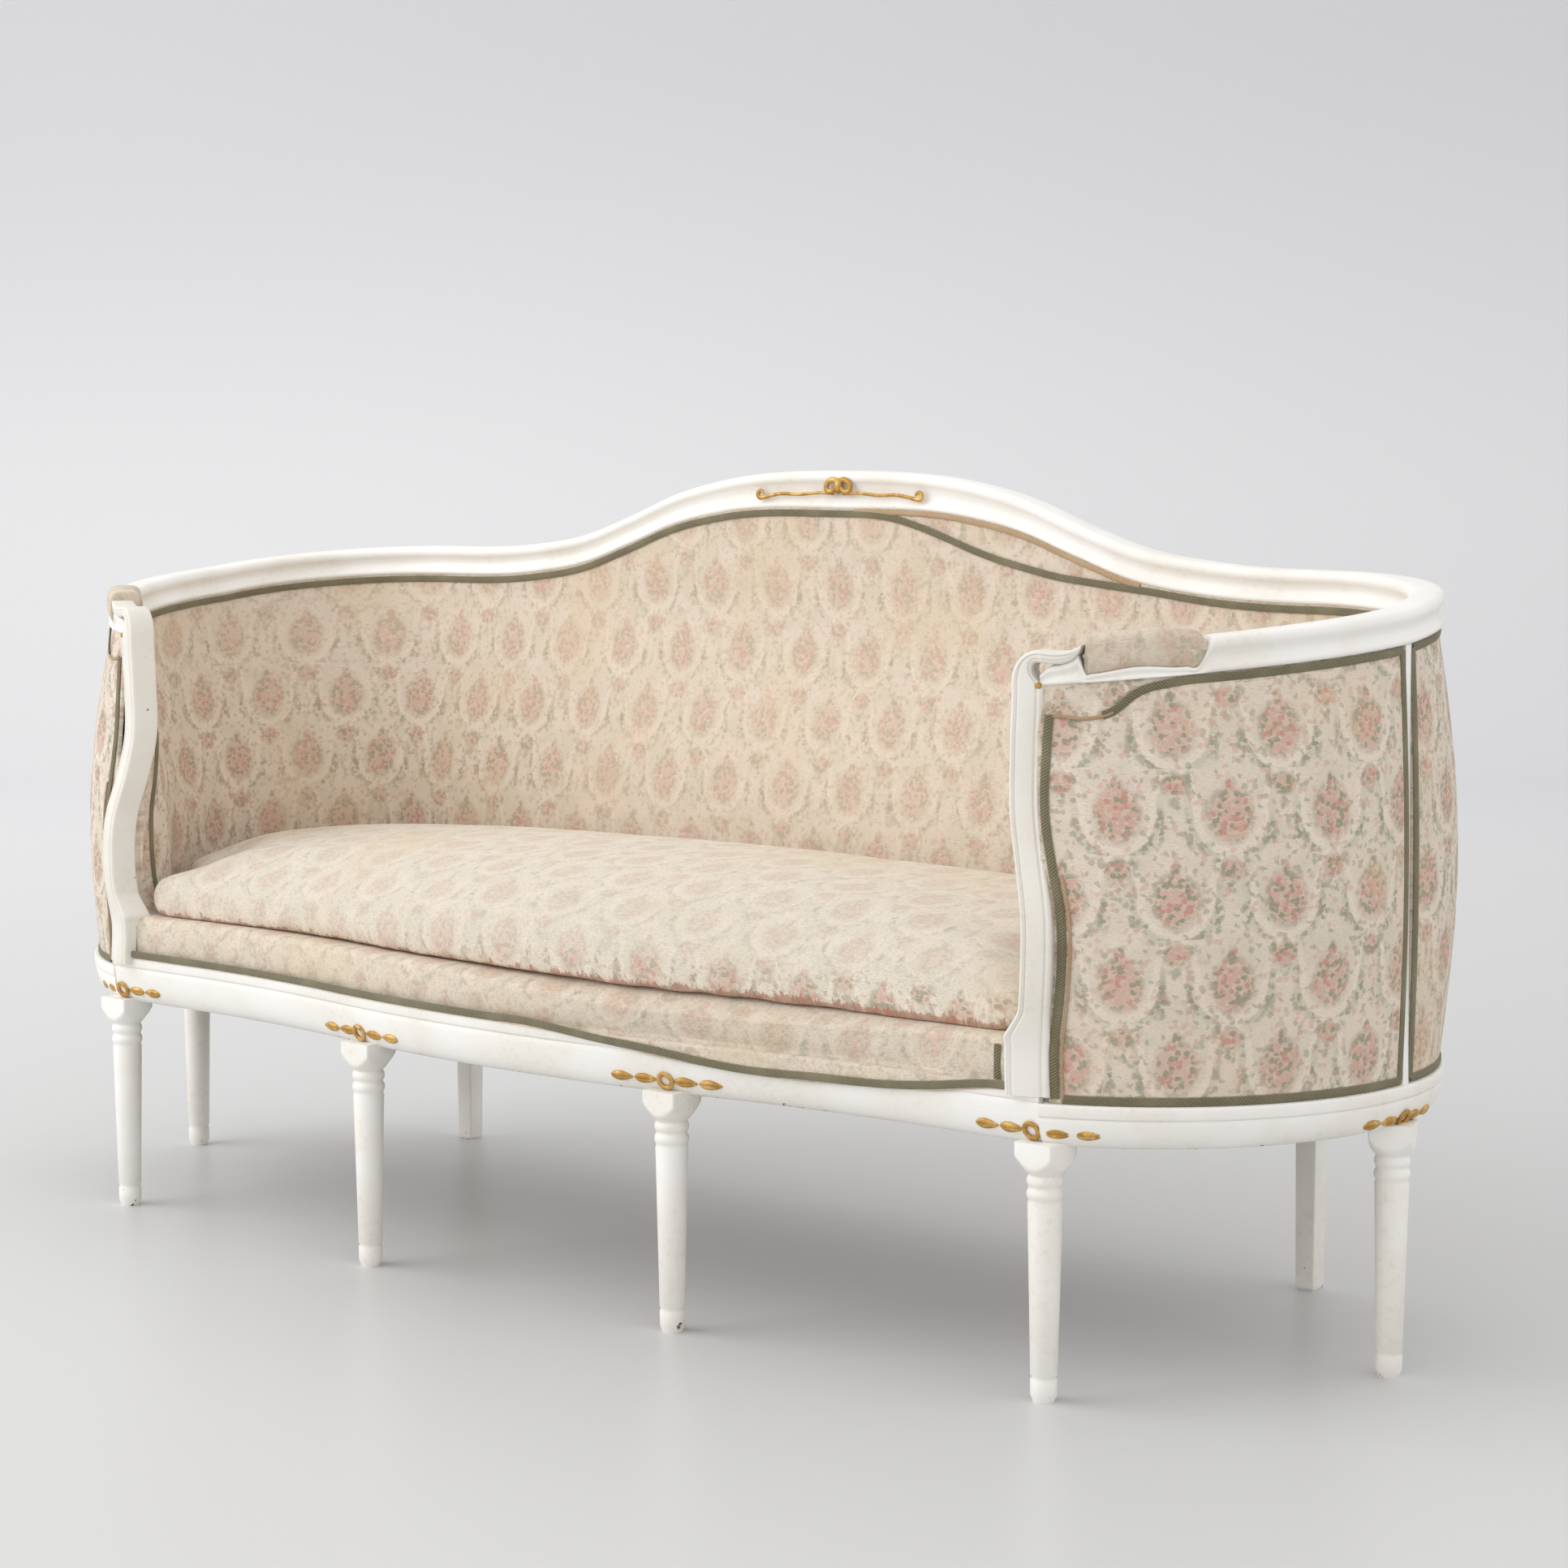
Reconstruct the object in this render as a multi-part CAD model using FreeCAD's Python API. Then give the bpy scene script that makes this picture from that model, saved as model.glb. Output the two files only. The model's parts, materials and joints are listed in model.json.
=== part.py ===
import FreeCAD, Part
import math
import os

# Gustavian sofa, a corbeille: six turned legs and two square back legs carry a ring of
# seat rails, bowed in front, rounded at the sides and straight behind. Leaning arm posts,
# arm rails and a humped crest rail hold upholstered walls round a stuffed seat with one
# loose cushion. Lengths in millimetres, x to the sitter's left as seen from the front,
# y from the front to the back, z up. Plan places are measured from the line through the
# front corner legs and moved to the middle of the depth on export.

Vec = FreeCAD.Vector

# Seat ring in plan
front_leg_x = 737.0
inner_leg_x = 246.0
side_leg_x = 967.0
side_leg_y = 318.0
back_line_y = 600.0
bow_depth = 50.0
bow_half_length = 590.0

# Seat rails
rail_bottom = 273.0
rail_top = 335.0
ledge_drop = 15.0
rail_out = 18.0
rail_in = 26.0
rail_undercut = 22.0
rail_core_out = 2.0
rail_fillet_drop = 14.0
rail_turn_degs = (22.5, 45.0, 67.5, 90.0)

# Upper ring: arm rails, corner rails and crest
arm_lean_in = 24.0
arm_set_back = 32.0
post_lean_in = 30.0
post_set_back = 7.5
crest_set_forward = 2.0
arm_top_front = 790.0
arm_top_rear = 827.0
shoulder_top = 854.0
crest_top = 965.0
arm_rail_height = 38.0
crest_shoulder_height = 40.0
crest_middle_height = 49.0
arm_rail_width = 38.0
crest_thickness = 44.0
rail_round = 9.0

# Crest outline as shares of its half length and of the hump above the shoulders
crest_x_shares = (0.0, 0.28, 0.414, 0.52, 0.652, 0.783, 1.0)
crest_rise_shares = (1.0, 0.893, 0.70, 0.455, 0.188, 0.063, 0.0)
crest_depth_shares = (1.0, 0.45, 0.15, 0.0, 0.0, 0.0, 0.0)

# Turned legs
capital_side = 54.0
capital_height = 32.0
neck_radius = 17.5
neck_height = 8.0
ring_radius = 19.5
ring_height = 6.0
column_radius = 19.0
foot_radius = 14.5
foot_height = 24.0
groove_depth = 1.8
groove_height = 4.0
foot_end_radius = 12.5
leg_sides = 16
dowel_sides = 12
ring_shares = (0.0, 0.3, 0.7, 1.0)
dowel_radius = 9.0
dowel_length = 32.0
dowel_clearance = 0.05

# Square back legs
back_leg_top = 30.0
back_leg_foot = 25.0

# Arm posts
post_width = 34.0
post_foot_width = 40.0
post_round = 8.0
post_reach_share = 0.65
post_tack_width = 14.0
knuckle_steps = 5
knuckle_hollow = 3.0
eye_clear = 0.8
eye_stand = 1.5
post_level_shares = (0.0, 0.12, 0.19, 0.315, 0.437, 0.558, 0.68, 0.853, 1.0)
post_width_shares = (1.0, 0.25, 0.0, 0.0, 0.0, 0.0, 0.0, 0.0, 0.0)
post_shift_x = (-7.0, -4.5, 2.0, 9.0, 9.0, -1.0, -9.0, -5.5, 0.0)
post_shift_y = (-3.0, -4.0, -10.0, -13.0, -10.5, -3.0, 2.0, 1.5, 0.0)

# Wall upholstery, measured from the wall line that leans from rail to arm
wall_out = 13.0
wall_bulge = 23.0
bulge_shares = (0.0, 0.022, 0.07, 0.15, 0.25, 0.34, 0.42, 0.5, 0.58, 0.66, 0.75, 0.85, 0.93, 0.978, 1.0)
panel_thickness = 5.0
panel_start = 4.5
frame_in = 14.0
seat_pad_in = 78.0
pad_bottom = 342.0
pad_full_top = 470.0
pad_recess = 2.0
pad_bends = 7
panel_bends = 4
wall_steps = 12
top_gap = 1.0

# Stiles, tacking rails and webbing inside the walls
stile_half_width = 18.0
bead_half_width = 5.5
bead_stand = 2.0
tack_rail_bottom = 346.0
tack_rail_top = 384.0
tack_rail_thickness = 16.0
side_web_steps = (3, 7)
corner_web_steps = (3, 6, 9)
back_web_shares = (0.1, 0.26, 0.42, 0.58, 0.74, 0.9)

# Seat
webbing_thickness = 1.5
webbing_width = 50.0
webbing_pitch = 133.0
webbing_strips = 5
webbing_in = 3.0
cross_webbing_shares = (0.17, 0.36, 0.64, 0.82)
cloth_thickness = 0.8
cloth_in = 17.5
deck_top = 388.0
deck_side_gap = 1.5
band_out = 12.0
band_belly = 2.0
deck_edge_round = 9.0
seat_middle_y = 270.0
cross_bar_width = 45.0
cross_bar_height = 34.0
cross_bar_drop = 12.0
block_leg = 70.0
block_thickness = 22.0
block_height = 30.0
block_drop = 20.0

# Loose cushion
cushion_side_gap = 2.5
cushion_front_in = 4.0
cushion_corner_radius = 24.0
cushion_boxing = 60.0
cushion_crown = 40.0
cushion_scale_shares = (0.98, 1.0, 0.994, 0.978, 0.90, 0.74, 0.50, 0.25)
cushion_rise_shares = (0.0, 0.16, 0.42, 0.56, 0.74, 0.89, 0.97, 1.0)

# Arms
arm_steps = 12
corner_steps = 12
back_steps = 32
arc_steps = 6
arm_dip = 22.0
arm_pad_stand = 13.0
arm_pad_width = 42.0
arm_pad_shares = (0.14, 0.16, 0.22, 0.3, 0.38, 0.43, 0.46)
arm_pad_full_shares = (0.2, 0.75, 1.0, 1.0, 1.0, 0.75, 0.2)

# Trimming braid
gimp_width = 9.0
gimp_thickness = 2.2
gimp_gap = 0.5
back_gimp_sag = 30.0
arm_gimp_sag = 24.0
loose_back_shares = (0.18, 0.48)
loose_arm_shares = (0.03, 0.45)

# Gilt ornaments
ornament_ring_radius = 11.0
ornament_ring_hole = 6.5
ornament_stand = 3.0
leaf_length = 34.0
leaf_height = 10.0
leaf_gap = 2.0
knot_width = 40.0
knot_height = 22.0
knot_tilt_deg = 18.0
knot_drop_share = 0.4
ribbon_half_length = 135.0
ribbon_height = 6.0
ribbon_shares = (0.0, 0.12, 0.25, 0.38, 0.5, 0.62, 0.75, 0.88, 1.0)
ornament_gap = 0.1

flat_limit = 0.000001
gap = 0.3
overrun = 60.0
circle_deg = 360.0
quarter_deg = 90.0

# Worked out from the sizes above
corner_radius = back_line_y - side_leg_y
corner_x = side_leg_x - corner_radius
back_leg_x = corner_x + back_leg_top / 2
back_leg_y = side_leg_y + math.sqrt(corner_radius ** 2 - (back_leg_top / 2) ** 2)
side_reach = side_leg_x - front_leg_x
side_radius = (side_reach ** 2 + side_leg_y ** 2) / (2 * side_reach)
side_centre_x = side_leg_x - side_radius
side_start_deg = -math.degrees(math.asin(side_leg_y / side_radius))
crest_y = back_line_y - crest_set_forward
top_corner_radius = crest_y - side_leg_y - arm_set_back
top_corner_x = side_leg_x - arm_lean_in - top_corner_radius
crest_half = top_corner_x
top_reach = side_leg_x - arm_lean_in - front_leg_x + post_lean_in
top_depth = side_leg_y + arm_set_back - post_set_back
top_side_radius = (top_reach ** 2 + top_depth ** 2) / (2 * top_reach)
top_side_x = side_leg_x - arm_lean_in - top_side_radius
top_start_deg = -math.degrees(math.asin(top_depth / top_side_radius))
bow_radius = (bow_half_length ** 2 + bow_depth ** 2) / (4 * bow_depth)
bow_turn_deg = math.degrees(math.asin(bow_half_length / 2 / bow_radius))
side_turn_deg = quarter_deg + side_start_deg
mitre_deg = side_turn_deg / 2
cushion_notch_x = front_leg_x - post_lean_in - post_width * post_reach_share - cushion_side_gap
rail_ledge = rail_top - ledge_drop
lean_height = arm_top_front - rail_bottom
post_top = arm_top_front - post_width - knuckle_hollow
depth_middle = (crest_y + crest_thickness / 2 - bow_depth - rail_out) / 2


def unit(deg):
    return Vec(math.cos(math.radians(deg)), math.sin(math.radians(deg)), 0)


def mix(low, high, share):
    return low + (high - low) * share


def ease(share):
    """A rise from 0 to 1 that starts and ends level."""
    share = min(1, max(0, share))
    return share * share * (3 - 2 * share)


def move_in(shape, vector):
    moved = shape.copy()
    moved.translate(vector)
    return moved


def mirrored(shape):
    return shape.mirror(Vec(0, 0, 0), Vec(1, 0, 0))


def save(name, *shapes):
    """Write one node, moved to the middle of the depth."""
    solids = [solid for shape in shapes for solid in shape.Solids]
    whole = solids[0] if len(solids) == 1 else Part.Compound(solids)
    whole = move_in(whole, Vec(0, -depth_middle, 0))
    whole.exportStep(os.path.join("parts", name + ".step"))
    return whole


def save_pair(name, shape):
    """Write the right-hand piece and its mirror image on the left."""
    save(name + "_right", shape)
    save(name + "_left", mirrored(shape))


def fused(shapes):
    whole = shapes[0]
    for shape in shapes[1:]:
        whole = whole.fuse(shape)
    return whole.removeSplitter()


def polygon(points):
    return Part.makePolygon(list(points) + [points[0]])


def facets(low, low_next, high_next, high):
    """One flat face through four corners, or two split along the shorter diagonal."""
    normal = (low_next - low).cross(high_next - low).normalize()
    if abs(normal.dot(high - low)) < flat_limit:
        return [Part.Face(polygon([low, low_next, high_next, high]))]
    if (high_next - low).Length < (high - low_next).Length:
        halves = ((low, low_next, high_next), (low, high_next, high))
    else:
        halves = ((low, low_next, high), (low_next, high_next, high))
    return [Part.Face(polygon(half)) for half in halves]


def facet_loft(wires):
    """Solid through closed outlines of equal corner counts, its sides flat facets."""
    rings = [[corner.Point for corner in wire.OrderedVertexes] for wire in wires]
    faces = [Part.Face(wires[0]), Part.Face(wires[-1])]
    for low, high in zip(rings, rings[1:]):
        for step in range(len(low)):
            faces += facets(low[step - 1], low[step], high[step], high[step - 1])
    solid = Part.Solid(Part.Shell(faces))
    return solid if solid.Volume > 0 else solid.reversed()


def cylinder(radius, height, place, direction=Vec(0, 0, 1)):
    return Part.makeCylinder(radius, height, place, direction)


def beyond(place, normal):
    """A block that fills the space on the far side of an upright plane."""
    side = Vec(-normal.y, normal.x, 0)
    size = side_leg_x
    corner = place - side * size - Vec(0, 0, size)
    edges = [corner, corner + side * (2 * size), corner + side * (2 * size) + normal * size,
             corner + normal * size]
    return Part.Face(polygon(edges)).extrude(Vec(0, 0, 3 * size))


# The three bays of the wall line, right-hand half: side, corner and back


class Bay:
    """A stretch of the seat ring with the lean of the wall above it.

    A share from 0 to 1 runs from the front post round to the middle of the back. Each
    share has a section plane through the outward normal and the leaning wall line.
    """

    def __init__(self, kind):
        self.kind = kind

    def foot(self, share):
        if self.kind == "side":
            deg = side_start_deg * (1 - share)
            return Vec(side_centre_x, side_leg_y, 0) + unit(deg) * side_radius, deg
        if self.kind == "corner":
            deg = quarter_deg * share
            return Vec(corner_x, side_leg_y, 0) + unit(deg) * corner_radius, deg
        return Vec(mix(corner_x, -corner_x, share), back_line_y, 0), quarter_deg

    def head(self, share):
        place, deg = self.foot(share)
        if self.kind == "side":
            centre = Vec(top_side_x, side_leg_y + arm_set_back, 0)
            return centre + unit(top_start_deg * (1 - share)) * top_side_radius
        if self.kind == "corner":
            centre = Vec(top_corner_x, side_leg_y + arm_set_back, 0)
            return centre + unit(deg) * top_corner_radius
        return Vec(mix(top_corner_x, -top_corner_x, share), crest_y, 0)

    def top(self, share):
        """Height of the upper ring's top."""
        if self.kind == "side":
            return mix(arm_top_front, arm_top_rear, share)
        if self.kind == "corner":
            return mix(arm_top_rear, shoulder_top, share * (2 - share))
        return crest_height(abs(self.head(share).x))[0]

    def under(self, share):
        """Height of the upper ring's lower edge."""
        if self.kind == "side":
            return self.top(share) - arm_rail_height
        if self.kind == "corner":
            return self.top(share) - mix(arm_rail_height, crest_shoulder_height, share)
        return crest_height(abs(self.head(share).x))[1]

    def half_width(self, share):
        if self.kind == "side":
            return arm_rail_width / 2
        if self.kind == "corner":
            return mix(arm_rail_width, crest_thickness, ease(share)) / 2
        return crest_thickness / 2

    def lean(self, share):
        """Sideways travel of the wall line from rail to arm, along and across the ring."""
        place, deg = self.foot(share)
        travel = self.head(share) - place
        normal = unit(deg)
        along = unit(deg + quarter_deg)
        return travel.dot(normal), travel.dot(along)

    def rise(self, z):
        return (z - rail_bottom) / lean_height

    def line(self, share, z):
        """Offset of the leaning wall line from the seat ring at one height."""
        return self.lean(share)[0] * self.rise(z)

    def point(self, share, offset, z):
        """The point at an outward offset from the seat ring and a height."""
        place, deg = self.foot(share)
        along = self.lean(share)[1] * self.rise(z)
        flat = place + unit(deg) * offset + unit(deg + quarter_deg) * along
        return Vec(flat.x, flat.y, z)


def spline(points, closed_tangents=None):
    curve = Part.BSplineCurve()
    if closed_tangents:
        first, last = closed_tangents
        curve.interpolate(Points=points, InitialTangent=first, FinalTangent=last)
    else:
        curve.interpolate(points)
    return curve


def crest_curves():
    """Upper and lower edge of the crest in the front view, as curves over x."""
    top_points = []
    low_points = []
    for x_share, rise_share, depth_share in zip(crest_x_shares, crest_rise_shares,
                                                crest_depth_shares):
        x = x_share * crest_half
        top = mix(shoulder_top, crest_top, rise_share)
        depth = mix(crest_shoulder_height, crest_middle_height, depth_share)
        top_points.append(Vec(x, crest_y, top))
        low_points.append(Vec(x, crest_y, top - depth))
    whole = []
    for points in (top_points, low_points):
        left = [Vec(-place.x, place.y, place.z) for place in reversed(points[1:])]
        whole.append(spline(left + points, (Vec(1, 0, 0), Vec(1, 0, 0))))
    return whole


crest_upper, crest_lower = crest_curves()


def crest_height(x):
    """Top and underside of the crest at a distance from the middle."""
    x = min(x, crest_half)
    heights = []
    for curve in (crest_upper, crest_lower):
        low, high = curve.FirstParameter, curve.LastParameter
        for _ in range(40):
            middle = (low + high) / 2
            if curve.value(middle).x < x:
                low = middle
            else:
                high = middle
        heights.append(curve.value(low).z)
    return heights


side_bay = Bay("side")
corner_bay = Bay("corner")
back_bay = Bay("back")


def levels(bottom, top, bends=1):
    """Heights of a wall section's corners, evenly spread; ends are numbers or functions."""
    def heights(bay, share):
        low, high = [end(bay, share) if callable(end) else end for end in (bottom, top)]
        return [mix(low, high, step / bends) for step in range(bends + 1)]
    return heights


def along_facets(offset, heights):
    """A wall surface as its piece has it, straight between the corners' heights."""
    def flat(bay, share, z):
        corners = heights(bay, share)
        low, high = [pair for pair in zip(corners, corners[1:]) if pair[0] <= z][-1]
        return mix(offset(bay, share, low), offset(bay, share, high), (z - low) / (high - low))
    return flat


def wall_wire(bay, share, inner, outer, heights):
    """Closed section of a wall piece: inner face up, top edge, outer face down."""
    corners = heights(bay, share)
    up = [bay.point(share, inner(bay, share, z), z) for z in corners]
    down = [bay.point(share, outer(bay, share, z), z) for z in reversed(corners)]
    return polygon(up + down)


def wall_piece(places, inner, outer, heights):
    """Loft wall sections along the ring between an inner and an outer surface."""
    return facet_loft([wall_wire(bay, share, inner, outer, heights) for bay, share in places])


def stations(bay, first, last, steps):
    return [(bay, mix(first, last, step / steps)) for step in range(steps + 1)]


def wall_stations(bay, first, last):
    """The stations that all wall pieces of a bay share, between two ends of their own."""
    inner = [step / wall_steps for step in range(1, wall_steps)]
    return [(bay, share) for share in [first] + inner + [last]]


def swept(profile, path):
    """Carry a flat profile of (offset, height) points along lines and arcs in plan.

    Each path leg is (start, end) for a line, or (centre, radius, from, to, side) for an
    arc, where side is 1 when the offset grows away from the centre and -1 towards it.
    """
    pieces = []
    for leg in path:
        if len(leg) == 2:
            start, end = leg
            run = end - start
            normal = Vec(run.y, -run.x, 0).normalize()
            points = [start + normal * offset + Vec(0, 0, z) for offset, z in profile]
            pieces.append(Part.Face(polygon(points)).extrude(run))
        else:
            centre, radius, first, last, side = leg
            ray = unit(first)
            points = [centre + ray * (radius + side * offset) + Vec(0, 0, z)
                      for offset, z in profile]
            face = Part.Face(polygon(points))
            pieces.append(face.revolve(centre, Vec(0, 0, 1), last - first))
    return fused(pieces) if len(pieces) > 1 else pieces[0]


def front_y(x):
    """Front leg line in plan: level at the corners, bowed forward in the middle."""
    x = abs(x)
    half = bow_half_length / 2
    if x >= bow_half_length:
        return 0.0
    if x > half:
        return -(bow_radius - math.sqrt(bow_radius ** 2 - (bow_half_length - x) ** 2))
    return -bow_depth + bow_radius - math.sqrt(bow_radius ** 2 - x ** 2)


def front_path(end_x):
    """The bowed front line from left to right as arcs and short straights."""
    low_centre = Vec(0, bow_radius - bow_depth, 0)
    hollow = Vec(bow_half_length, -bow_radius, 0)
    hollow_left = Vec(-bow_half_length, -bow_radius, 0)
    down = -quarter_deg
    return [(Vec(-end_x, 0, 0), Vec(-bow_half_length, 0, 0)),
            (hollow_left, bow_radius, quarter_deg, quarter_deg - bow_turn_deg, -1),
            (low_centre, bow_radius, down - bow_turn_deg, down + bow_turn_deg, 1),
            (hollow, bow_radius, quarter_deg + bow_turn_deg, quarter_deg, -1),
            (Vec(bow_half_length, 0, 0), Vec(end_x, 0, 0))]


def rail_curve(top, turn_deg):
    """A point on the rail's rounded lower face as an offset and a height."""
    drop = top - rail_fillet_drop
    turn = math.radians(turn_deg)
    return (rail_out - rail_undercut * (1 - math.sin(turn)),
            drop - (drop - rail_bottom) * math.cos(turn))


def rail_profile(top, core_out):
    """Moulded rail section: upright fillet above, rounded in towards the bottom."""
    points = [(-rail_in, rail_bottom), (rail_out - rail_undercut, rail_bottom)]
    points += [rail_curve(top, turn_deg) for turn_deg in rail_turn_degs]
    points.append((rail_out, top))
    if top < rail_top:
        points += [(core_out, top), (core_out, rail_top)]
    points.append((-rail_in, rail_top))
    return points


def ring_of(radius, sides, z):
    """A many-sided outline round the z axis whose flats lie at the radius."""
    corner = radius / math.cos(math.pi / sides)
    return polygon([unit(circle_deg * (step + 0.5) / sides) * corner + Vec(0, 0, z)
                    for step in range(sides)])


def dowel(radius, height):
    return Part.Face(ring_of(radius, dowel_sides, rail_bottom)).extrude(Vec(0, 0, height))


def dowel_hole(x, y):
    return move_in(dowel(dowel_radius + dowel_clearance, dowel_length + gap), Vec(x, y, 0))


def front_plane():
    """Mitre plane between the front rail and a side rail: its outward normal."""
    return unit(mitre_deg)


def make_front_rail():
    rail = swept(rail_profile(rail_top, rail_out), front_path(front_leg_x + overrun))
    for side in (1, -1):
        normal = front_plane()
        normal = Vec(side * normal.x, normal.y, 0)
        rail = rail.cut(beyond(Vec(side * front_leg_x, 0, 0), normal))
        for x in (front_leg_x, inner_leg_x):
            rail = rail.cut(dowel_hole(side * x, front_y(x)))
    save("front_seat_rail", rail)
    return rail


def make_side_rail():
    centre = Vec(side_centre_x, side_leg_y, 0)
    rail = swept(rail_profile(rail_ledge, rail_core_out),
                 [(centre, side_radius, side_start_deg - mitre_deg, 0, 1)])
    rail = rail.cut(beyond(Vec(front_leg_x, 0, 0), front_plane() * -1))
    rail = rail.cut(dowel_hole(front_leg_x, 0))
    rail = rail.cut(dowel_hole(side_leg_x, side_leg_y))
    save_pair("side_seat_rail", rail)
    return rail


def make_corner_rail():
    centre = Vec(corner_x, side_leg_y, 0)
    rail = swept(rail_profile(rail_ledge, rail_core_out),
                 [(centre, corner_radius, 0, quarter_deg, 1)])
    rail = rail.cut(dowel_hole(side_leg_x, side_leg_y))
    rail = rail.cut(dowel_hole(back_leg_x, back_leg_y))
    save_pair("corner_seat_rail", rail)


def make_back_rail():
    rail = swept(rail_profile(rail_ledge, rail_core_out),
                 [(Vec(corner_x, back_line_y, 0), Vec(-corner_x, back_line_y, 0))])
    save("back_seat_rail", rail)


def square(centre, width):
    half = width / 2
    return polygon([centre + Vec(sx * half, sy * half, 0)
                    for sx, sy in ((-1, -1), (1, -1), (1, 1), (-1, 1))])


def make_back_legs():
    """Two square tapered legs doweled up into the corner rails."""
    place = Vec(back_leg_x, back_leg_y, 0)
    leg = facet_loft([square(place, back_leg_foot),
                      square(place + Vec(0, 0, rail_bottom), back_leg_top)])
    save_pair("back_leg", leg.fuse(move_in(dowel(dowel_radius, dowel_length), place)))


def turned_leg(x, y, deg):
    """Turned leg under a square capital block that is rounded off below."""
    block_low = rail_bottom - capital_height
    ring_top = block_low - neck_height
    ring_low = ring_top - ring_height
    second_top = ring_low - groove_height
    second_low = second_top - ring_height
    groove_top = foot_height + groove_height
    outline = [(foot_end_radius, 0), (foot_radius, groove_height), (foot_radius, foot_height),
               (foot_radius - groove_depth, foot_height + groove_height / 2),
               (foot_radius, groove_top), (column_radius, second_low - neck_height)]
    for low, high in ((second_low, second_top), (ring_low, ring_top)):
        outline += [(mix(neck_radius, ring_radius, math.sin(math.pi * share)),
                     mix(low, high, share)) for share in ring_shares]
    outline.append((neck_radius, block_low))
    shaft = facet_loft([ring_of(radius, leg_sides, z) for radius, z in outline])
    corner = capital_side / math.sqrt(2)
    cone = facet_loft([ring_of(neck_radius, leg_sides, block_low),
                       ring_of(corner, leg_sides, rail_bottom)])
    block = Part.makeBox(capital_side, capital_side, capital_height,
                         Vec(-capital_side / 2, -capital_side / 2, block_low))
    block.rotate(Vec(0, 0, 0), Vec(0, 0, 1), deg)
    leg = shaft.fuse(cone.common(block)).fuse(dowel(dowel_radius, dowel_length))
    return move_in(leg.removeSplitter(), Vec(x, y, 0))


def make_turned_legs():
    inner_y = front_y(inner_leg_x)
    bow_deg = math.degrees(math.asin(inner_leg_x / bow_radius))
    save_pair("front_leg_outer", turned_leg(front_leg_x, 0, mitre_deg + side_turn_deg / 2))
    save_pair("front_leg_inner", turned_leg(inner_leg_x, inner_y, bow_deg))
    save_pair("side_leg", turned_leg(side_leg_x, side_leg_y, 0))


def chamfered(half_wide, half_high, chamfer):
    """Corners of a chamfered rectangle as (across, up) pairs, always in one order."""
    wide = half_wide - chamfer
    high = half_high - chamfer
    return [(half_wide, -high), (half_wide, high), (wide, half_high), (-wide, half_high),
            (-half_wide, high), (-half_wide, -high), (-wide, -half_high), (wide, -half_high)]


def post_line(z, shift_x, shift_y):
    """Centre of the arm post: the wall line at the post, with the post's own S-curve."""
    foot = side_bay.point(0, side_bay.line(0, z), z)
    return foot + Vec(shift_x, shift_y, 0)


def post_square(centre, half, chamfer):
    along = unit(side_turn_deg)
    back = unit(side_turn_deg + quarter_deg)
    return polygon([centre + along * x + back * y for x, y in chamfered(half, half, chamfer)])


def post_loft(grow):
    """The post from rail to knuckle, as chamfered squares grown by a clearance."""
    wires = []
    for share, width, shift_x, shift_y in zip(post_level_shares, post_width_shares,
                                              post_shift_x, post_shift_y):
        z = mix(rail_top, post_top, share)
        half = mix(post_width, post_foot_width, width) / 2 + grow
        wires.append(post_square(post_line(z, shift_x, shift_y), half, post_round))
    return facet_loft(wires)


def knuckle():
    """The post's head, turned a quarter circle into the line of the arm."""
    along = unit(side_turn_deg)
    back = unit(side_turn_deg + quarter_deg)
    half = post_width / 2
    centre = post_line(post_top, 0, 0)
    pivot = centre + along * (half + knuckle_hollow)
    wires = []
    for step in range(knuckle_steps + 1):
        wire = post_square(centre, half, post_round)
        wire.rotate(pivot, back, quarter_deg * step / knuckle_steps)
        wires.append(wire)
    return facet_loft(wires), pivot


def ring_section(bay, share, half_wide, low, high, chamfer):
    place, deg = bay.foot(share)
    head = bay.head(share)
    middle = Vec(head.x, head.y, (low + high) / 2)
    return polygon([middle + unit(deg) * across + Vec(0, 0, up)
                    for across, up in chamfered(half_wide, (high - low) / 2, chamfer)])


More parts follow.
